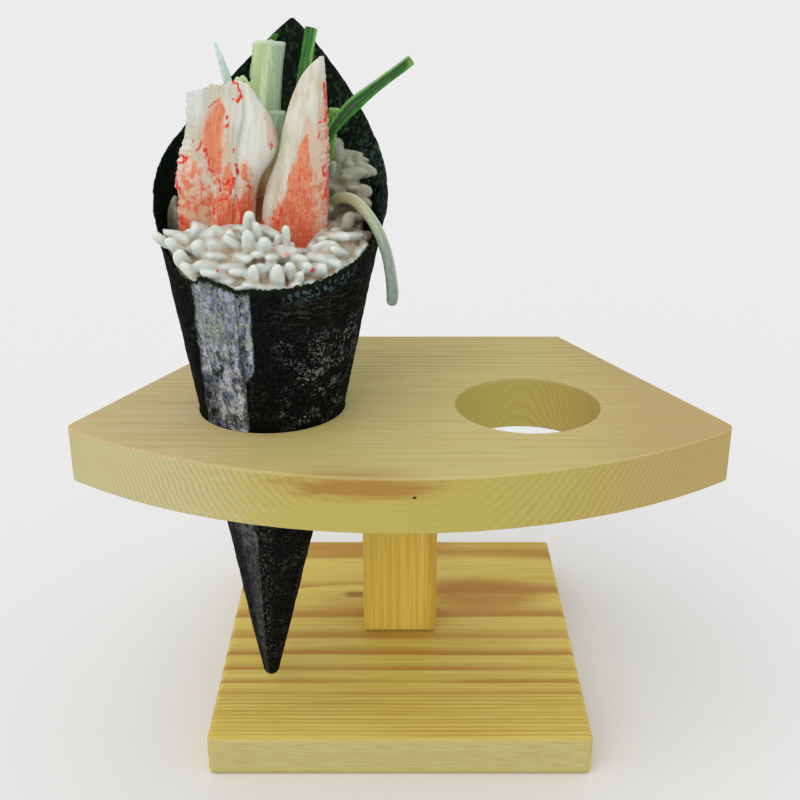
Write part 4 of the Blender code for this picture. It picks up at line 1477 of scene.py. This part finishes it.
SHRED = (
    (-8, 5.4, 118, 1, 1),
    (-8.8, 5.2, 134, 1, 1),
    (-10.2, 4.6, 147, 0.95, 0.95),
    (-11.3, 4.2, 151, 0.78, 0.78),
    (-12.3, 4, 154.2, 0.55, 0.5),
    (-13, 4, 156.4, 0.3, 0.25),
)
STRAND = (
    (10.2, 4.4, 117.5, 1.1, 1),
    (12.4, 2.8, 122.4, 1.2, 1.05),
    (14.6, 0.2, 124.7, 1.25, 1.1),
    (17.4, -2.6, 125.2, 1.25, 1.1),
    (20.3, -5.8, 123.6, 1.2, 1.1),
    (23, -8.8, 120.6, 1.2, 1.1),
    (25.2, -11.2, 116.2, 1.2, 1.1),
    (26.5, -12.5, 111.2, 1.25, 1.1),
    (27, -12.6, 107.4, 1.3, 1.15),
    (27, -12.6, 105.6, 1.2, 1.1),
)
SCRAP = (
    (-8.4, 1.6, 146.5, 0.5, 0.3),
    (-8.5, 1.5, 148.2, 0.6, 0.3),
    (-7.9, 1.3, 149.4, 0.6, 0.4),
    (-7.1, 1.5, 149.2, 0.5, 0.4),
    (-6.5, 1.2, 149.5, 0.6, 0.4),
    (-6, 1.4, 148.6, 0.6, 0.3),
    (-5.7, 1.6, 146.5, 0.5, 0.3),
)
FLECK = (
    (-4.4, 33.1, 153.6, 0.3, 0.3),
    (-3.9, 33.2, 154.4, 0.8, 0.4),
    (-3.1, 33.3, 155.2, 0.7, 0.4),
    (-2.5, 33.4, 155.8, 0.3, 0.3),
)


def carve_baton(point, wide, deep):
    """The tall baton's nicked left edge and uneven top."""
    x, y, z = point
    if wide < -0.8:
        x += stray(1.0, y * 0.2, z * 0.35) * 0.3 + max(0.0, stray(7.0, y * 0.5, z * 0.8) - 0.25) * 0.9
    y += stray(x * 0.5, 2.0, z * 0.12) * 0.25
    z += stray(x * 0.7, y * 0.4, 3.0) * 0.5 * smoothstep((z - 150.0) / 5.0)
    return Vector((x, y, z))


def carve_short(point, wide, deep):
    x, y, z = point
    return Vector((x + stray(2.0, 1.0, z * 0.4) * 0.25, y, z))


def knots(path, half_width, half_depth):
    """A path as wide and as deep all along."""
    return [point + (half_width, half_depth) for point in path]


square = even_section(0.3, 1.6, 48)
tall_section, short_section = even_section(0.3, 1.2, 96), even_section(0.35, 1.2, 64)
tall = upright_stick("cucumber_tall", CUCUMBER, tall_section, 0.35, carve_baton, BATONS_SHOW_FROM)
short = upright_stick("cucumber_short", CUCUMBER_SHORT, short_section, 0.5, carve_short, BATONS_SHOW_FROM)
peel_back = bent_strip("peel_back", knots(PEEL_BACK, 1.35, 0.6), square, 0.6, 0.1)
peel_long = bent_strip("peel_long", PEEL_LONG, square, 0.4, 0.06)
peel_short = bent_strip("peel_short", knots(PEEL_SHORT, 1.2, 1.0), square, 0.6)
shred = bent_strip("daikon_shred", SHRED, even_section(0.8, 1.0, 32), 0.5, 0.12)
strand = bent_strip("daikon_strand", STRAND, even_section(0.9, 1.0, 36), 0.4, 0.06, ROUND_CAP)
scrap = bent_strip("green_scrap", SCRAP, even_section(0.5, 1.4, 24), 0.2, 0.8)
fleck = bent_strip("green_fleck", FLECK, even_section(0.6, 1.4, 20), 0.4, 0.3)
for peel, dark in ((peel_back, 0.0), (peel_long, 1.0), (peel_short, 0.0)):
    mark(peel, "dark", lambda x, y, z: dark)
mark(peel_back, "cut", lambda x, y, z: smoothstep((158.2 - z) / 20.0) * 0.3)
mark(peel_long, "cut", lambda x, y, z: smoothstep((x - 27.8) / 0.6) * 0.5)
mark(peel_short, "cut", lambda x, y, z: 0.6)
print("strips of filling are shaped")


# %% Cucumber flesh
def flesh_finish():
    made, shader, start = new_finish(
        "cucumber_flesh",
        Specular_IOR_Level=0.5,
        Subsurface_Weight=0.2,
        Subsurface_Scale=0.001,
        Coat_Weight=0.2,
    )
    at = on_roll(start)
    x, y, z = parts(at)
    along = mottle(at, (0.5, 0.5, 6), 3, 2, 0.3)
    cells = mottle(at, (0.9, 0.9, 1.6), 3, 4, 0.6)
    left_rim = edge(x + (z - 141) * -0.06 + (cells - 0.5) * 0.8, -5.9, -6.7)
    # Yellow green turning golden, then brown lower down the short baton between the crab sticks: painted
    # shade.
    amber = coats(
        blend((212, 220, 128), (252, 214, 138), edge(z, 133.5, 129.5)),
        ((240, 156, 84), edge(z, 128, 123.5)),
        ((176, 96, 50), edge(z, 122, 118.5)),
    )
    between = edge(y, 9, 7.8) * edge(z, 137.5, 134) * edge(y, 3.2, 3.6)
    flesh = coats(
        blend((152, 176, 150), (190, 210, 154), edge(x + (cells - 0.5) * 3, 0.6, -5)),
        ((212, 224, 188), edge(along, 0.5, 0.7) * 0.5),
        ((128, 160, 112), edge(cells, 0.58, 0.72) * 0.4),
        ((96, 140, 52), left_rim * edge(y, 6, 8) * 0.7),
        ((180, 208, 150), edge(y, 3.2, 2.8) * 0.8),
        (amber, between * 0.95),
    )
    dress(shader, flesh, edge(cells, 0.3, 0.7, 0.22, 0.4), along + cells * 0.6, 0.14)
    return made


FLESH_FINISH = count_nodes(flesh_finish())


# %% Green peel
def peel_finish():
    made, shader, start = new_finish(
        "cucumber_peel", Specular_IOR_Level=0.35, Coat_Weight=0.1, Coat_Roughness=0.2
    )
    at = on_roll(start)
    blots = mottle(at, (1.2, 1.2, 2.2), 3, 5, 0.8)
    fine = mottle(at, (0.4, 0.4, 1.2), 2, 9)
    across = stored(start, "across") + (fine - 0.5) * 0.3
    dark = stored(start, "dark")
    skin = coats(
        blend((36, 112, 22), (72, 150, 38), edge(blots, 0.4, 0.66) * 0.7),
        ((20, 68, 14), edge(abs(across + 0.08), 0.66, 0.34) * edge(dark, 0, 1, 0.55, 0.92)),
        ((112, 158, 90), edge(across, -0.66, -0.86) * dark * 0.8),
        ((132, 184, 96), edge(across, 0.5, 0.75) * (1 - dark) * 0.8),
        ((150, 196, 92), stored(start, "cut") * edge(fine, 0.3, 0.6)),
    )
    dress(shader, skin, edge(blots, 0.3, 0.7, 0.24, 0.4), blots + fine * 0.5, 0.1)
    return made


PEEL_FINISH = count_nodes(peel_finish())


# %% Daikon
def daikon_finish():
    made, shader, start = new_finish(
        "daikon_flesh",
        Specular_IOR_Level=0.6,
        Subsurface_Weight=0.4,
        Subsurface_Radius=(0.8, 1.0, 0.9),
        Subsurface_Scale=0.0015,
        Coat_Weight=0.5,
        Coat_Roughness=0.08,
    )
    at = on_roll(start)
    x, _, z = parts(at)
    streaks = mottle(at, (0.8, 0.8, 1.2), 3, 3)
    glassy = coats(
        blend((156, 160, 116), (122, 140, 124), edge(z, 124.5, 117)),
        ((112, 132, 120), edge(z, 112, 104) * 0.7),
        ((160, 172, 146), edge(streaks, 0.44, 0.62) * 0.3),
        # A lighter edge along one side of the strand: a painted highlight.
        ((184, 194, 166), edge(stored(start, "across"), -0.6, -0.95) * 0.6),
    )
    pale = blend((186, 206, 200), (206, 222, 216), edge(streaks, 0.4, 0.65))
    colour = blend(pale, glassy, edge(x, 2, 6))
    dress(shader, colour, edge(streaks, 0.3, 0.7, 0.16, 0.32), streaks, 0.12)
    return made


DAIKON_FINISH = count_nodes(daikon_finish())

# %% Filling into the roll
add_piece("cucumber_tall", tall, FLESH_FINISH, "cucumber_flesh", "cucumber_stick")
add_piece("cucumber_short", short, FLESH_FINISH, "cucumber_flesh", "cucumber_stick_short")
add_piece("peel_back", peel_back, PEEL_FINISH, "green_peel", "green_peel_back")
add_piece("peel_long", peel_long, PEEL_FINISH, "green_peel", "green_peel_long")
add_piece("peel_short", peel_short, PEEL_FINISH, "green_peel", "green_peel_short")
add_piece("daikon_shred", shred, DAIKON_FINISH, "daikon", "daikon_shred")
add_piece("daikon_strand", strand, DAIKON_FINISH, "daikon", "daikon_strand")
add_piece("green_scrap", scrap, FLESH_FINISH, "cucumber_flesh")
add_piece("green_fleck", fleck, PEEL_FINISH, "green_peel")

# %% [markdown]
# ## Crumbs
#
# Tearing the crab sticks leaves a few reddish crumbs on the rice. They are small uneven grains with the
# surimi's finish, and the ones furthest forward are the most orange.

# %% Crumbs of surimi
CRUMBS = (
    (4.2, -18.2, 116.2, 1.9, 1.6, 80, 0),
    (10.1, -19.8, 113.8, 1, 0.7, 40, 0),
    (-9.6, -20.4, 113, 0.9, 0.6, 60, 0),
    (-16, -17.2, 113.9, 0.7, 0.5, 0, 0),
    (-5.4, -20.8, 111.8, 0.8, 0.5, 100, 0),
)
crumbs = join("surimi_crumbs", *[single_grain(*row) for row in CRUMBS])
mark(crumbs, "orange", lambda x, y, z: 0.9 if y < -19.0 else 0.5)
mark(crumbs, "red", lambda x, y, z: 0.6 if x > 8.0 else 0.0)
add_piece("surimi_crumbs", crumbs, CRAB_FINISH, "crab_stick")

# %% [markdown]
# ## Pine
#
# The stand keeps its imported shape: sawn pine with crisp edges. What it needs is wood that runs through the
# solid. A board is a slice of a trunk, so its lines are year rings: each starts as wide pale spring wood and
# darkens to a thin line of summer wood. Cutting imaginary rings with the board's faces gives bands on the
# top and slanting lines on a curved edge, all from one rule.

# %% Year rings, fibres and spots
def year_rings(at, count, wobble):
    """Summer wood from 0 to 1: it deepens slowly through each ring and ends at a sharp line."""
    uneven = (mottle(at, (60, 9, 9), 2, 3, 0.3) - 0.5) * wobble
    phase = (count + uneven).math("FRACT")
    strength = mottle(at, (70, 10, 10), 1, 7)
    return edge(phase, 0.35, 0.88) * edge(phase, 1, 0.9) * edge(strength, 0.3, 0.6, 0.5, 1)


def spot(place_at, middle, radii):
    """Distance from a place, in parts of three radii."""
    axes = [((axis - at) / radius) ** 2.0 for axis, at, radius in zip(place_at, middle, radii)]
    return (axes[0] + axes[1] + axes[2]) ** 0.5


def pine(name, fibre_size, fibre_detail, pore_size):
    """A pine material with its fibres and pores, each about so many millimetres in x, y and z."""
    made, shader, start = new_finish(name, Specular_IOR_Level=0.25)
    at = in_millimetres(start)
    fibres = mottle(at, fibre_size, fibre_detail, 12, 0.2)
    return made, shader, at, fibres, mottle(at, pore_size, 3, 14)


def sawn(shader, colour, fibres, relief, depth):
    """Dull sawn wood, a little rougher along some fibres."""
    dress(shader, colour, edge(fibres, 0.3, 0.7, 0.52, 0.66), relief, depth)


def clad(node_name, finish):
    """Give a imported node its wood."""
    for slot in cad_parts[node_name].material_slots:
        slot.material = finish
    print(node_name, "has its pine")


print("wood helpers are ready")


# %% The base: wide rings, a knot and a brown patch right of the post
def base_finish():
    made, shader, at, fibres, pores = pine("pine_base", (30, 0.9, 0.9), 4, (7, 0.25, 0.25))
    x, y, z = parts(at)
    from_pith = ((y - 45) ** 2.0 + (z + 10) ** 2.0) ** 0.5
    knot = spot((x, y, z), (-13, 17, 11), (12, 5, 9))
    count = (from_pith - 22.5) * 0.075 + (from_pith / 100) ** 4.5 * 7.2 + edge(knot, 2.2, 0.2) * 0.45
    summer = year_rings(at, count, 0.3)
    fine = year_rings(at, (from_pith - 60) / 1.5, 0.8)
    brown = spot((x, y, z), (24, 17, 11), (17, 9, 9)) + (fibres - 0.5) * 1.2
    front = blend((194, 184, 128), (180, 164, 104), edge(pores, 0.42, 0.66))
    colour = coats(
        blend((214, 193, 100), (202, 176, 78), edge(fibres, 0.4, 0.66) * 0.8),
        ((170, 112, 38), summer * edge(y, -36, -26, 0.25, 0.76)),
        ((174, 130, 56), fine * edge(y, -26, -34, 0, 0.6)),
        ((176, 120, 50), edge(brown, 1.3, 0.6) * 0.75),
        ((140, 88, 32), edge(knot + (fibres - 0.5) * 1.0, 0.42, 0.2) * 0.8),
        ((148, 112, 54), edge(pores, 0.64, 0.8) * 0.3),
        (front, edge(y, -49, -49.5) * edge(z, 10.9, 10.4) * 0.85),
    )
    sawn(shader, colour, fibres, fibres * 0.5 + pores * 0.6 - summer * 0.2, 0.06)
    return made


clad("holder_base", count_nodes(base_finish()))


# %% The shelf: close lines on its curved edge, painted light at its left end, painted shadow at its right
def shelf_finish():
    made, shader, at, fibres, pores = pine("pine_shelf", (34, 1.2, 1.2), 3, (6, 0.25, 0.25))
    x, y, z = parts(at)
    swirl = spot((x, y, z), (-8, -65, 86.5), (20, 5, 5))
    count = (y * -0.98 + z * 0.2) + edge(swirl, 2.4, 0.2) * 1.6
    close = year_rings(at, count / 0.62, 2.2)
    wide = year_rings(at, y / 2.3, 1.2) * edge(y, -14, 2)
    wander = x + (fibres - 0.5) * 24
    front = edge(z, 88.6, 88)
    # The front face is paler to the left, as painted light, and darker to the right, as painted shadow.
    face = blend((186, 170, 88), (194, 184, 134), edge(wander, -22, -48))
    face = blend(face, (186, 164, 102), edge(wander, 30, 60))
    gold = spot((x, y, z), (-8, -65, 86.4), (17, 6, 2.6)) + (fibres - 0.5) * 1.6
    speck = spot((x, y, z), (3, -66.5, 84.4), (0.45, 2, 0.3))
    # A pale line along the rounded front edge: a painted highlight.
    painted_arris_highlight = edge(abs(z - 88.6), 0.4, 0.1) * edge(y, -24, -30) * edge(pores, 0.3, 0.5)
    colour = coats(
        # The top is paler to the left, as painted light, and darker to the right, as painted shadow.
        blend((192, 178, 114), (200, 180, 132), edge(wander, -22, -52)),
        ((180, 154, 104), edge(wander, 30, 62)),
        ((182, 160, 100), edge(fibres, 0.42, 0.66) * 0.5),
        (face, front),
        ((158, 128, 70), close * edge(abs(x), 12, 34, 0.25, 1) * (front * 0.28 + 0.1)),
        ((132, 104, 60), wide * 0.42 * (1 - front)),
        ((158, 108, 34), edge(gold, 1.4, 0.5) * 0.75),
        ((60, 40, 20), edge(speck, 1.2, 0.8)),
        ((206, 188, 126), painted_arris_highlight * edge(x, -10, 12, 0.3, 0.8)),
        ((140, 110, 62), edge(pores, 0.64, 0.8) * 0.22),
    )
    sawn(shader, colour, fibres, fibres * 0.5 + pores * 0.5 - close * 0.3, 0.05)
    return made


clad("holder_shelf", count_nodes(shelf_finish()))


# %% The post: upright fibres, and glue where it stands in the base
def post_finish():
    made, shader, at, fibres, pores = pine("pine_post", (0.8, 0.8, 30), 4, (0.25, 0.25, 7))
    x, _, z = parts(at)
    glue = edge(mottle(at, (1.2, 1.2, 0.7), 2, 5), 0.64, 0.72) * edge(z, 12.6, 11.4)
    colour = coats(
        blend((234, 204, 98), (222, 186, 76), edge(fibres, 0.4, 0.65)),
        ((200, 158, 64), edge(pores, 0.62, 0.78) * 0.4),
        # Darker along the post's right edge: painted shade.
        ((196, 148, 60), edge(x + (fibres - 0.5) * 4, 6.2, 9) * 0.6),
        ((96, 70, 34), glue * 0.8),
    )
    sawn(shader, colour, fibres, fibres * 0.5 + pores * 0.6, 0.06)
    return made


clad("holder_post", count_nodes(post_finish()))

# %% [markdown]
# ## The studio
#
# A pale floor without an edge, an even pale sky and one large soft lamp high at the front left: enough to
# model the crinkles and leave a faint shadow at the right. The camera stands a little above the roll and
# looks down at it.

# %% Floor, light and camera
FLOOR_REACH, FLOOR_DROP = 6.0, 0.05 * MM
FLOOR_COLOUR = (228, 228, 228)
CAMERA_AT = Vector((0.0, -0.28856, 0.19594))
CAMERA_DOWN = 22.0
SENSOR, FOCAL_LENGTH, FAR = 36.0, 54.0, 50.0
SUN_SIDE, SUN_HEIGHT, SUN_WIDTH = 35.0, 48.0, 60.0
SKY, SUN = 0.847, 1.0


def stage_floor():
    mesh = bpy.data.meshes.new("studio_floor")
    signs = ((-1, -1), (1, -1), (1, 1), (-1, 1))
    corners = [(x * FLOOR_REACH, y * FLOOR_REACH, -FLOOR_DROP) for x, y in signs]
    mesh.from_pydata(corners, [], [(0, 1, 2, 3)])
    made, shader, _ = new_finish("studio_paper", Roughness=0.9, Specular_IOR_Level=0.1)
    shader.inputs["Base Color"].default_value = tint(FLOOR_COLOUR)
    mesh.materials.append(made)
    floor = in_scene("studio_floor", mesh)


def studio_light():
    world = bpy.data.worlds.new("studio")
    bpy.context.scene.world = world
    world.use_nodes = True
    world.node_tree.nodes["Background"].inputs["Color"].default_value = (1.0, 1.0, 1.0, 1.0)
    world.node_tree.nodes["Background"].inputs["Strength"].default_value = SKY
    lamp = bpy.data.lights.new("studio_lamp", "SUN")
    lamp.energy = SUN
    lamp.angle = math.radians(SUN_WIDTH)
    holder = in_scene("studio_lamp", lamp)
    holder.rotation_euler = (math.radians(90.0 - SUN_HEIGHT), 0.0, math.radians(-SUN_SIDE))
    bpy.context.scene.view_settings.view_transform = "Standard"


def studio_camera():
    lens = bpy.data.cameras.new("studio_camera")
    lens.sensor_width = SENSOR
    lens.lens = FOCAL_LENGTH
    lens.clip_end = FAR
    camera = in_scene("studio_camera", lens)
    camera.location = CAMERA_AT
    camera.rotation_euler = (math.radians(90.0 - CAMERA_DOWN), 0.0, 0.0)
    bpy.context.scene.camera = camera


stage_floor()
studio_light()
studio_camera()
print("floor, light and camera are set")

# %% End of the scene
print("the scene is built")
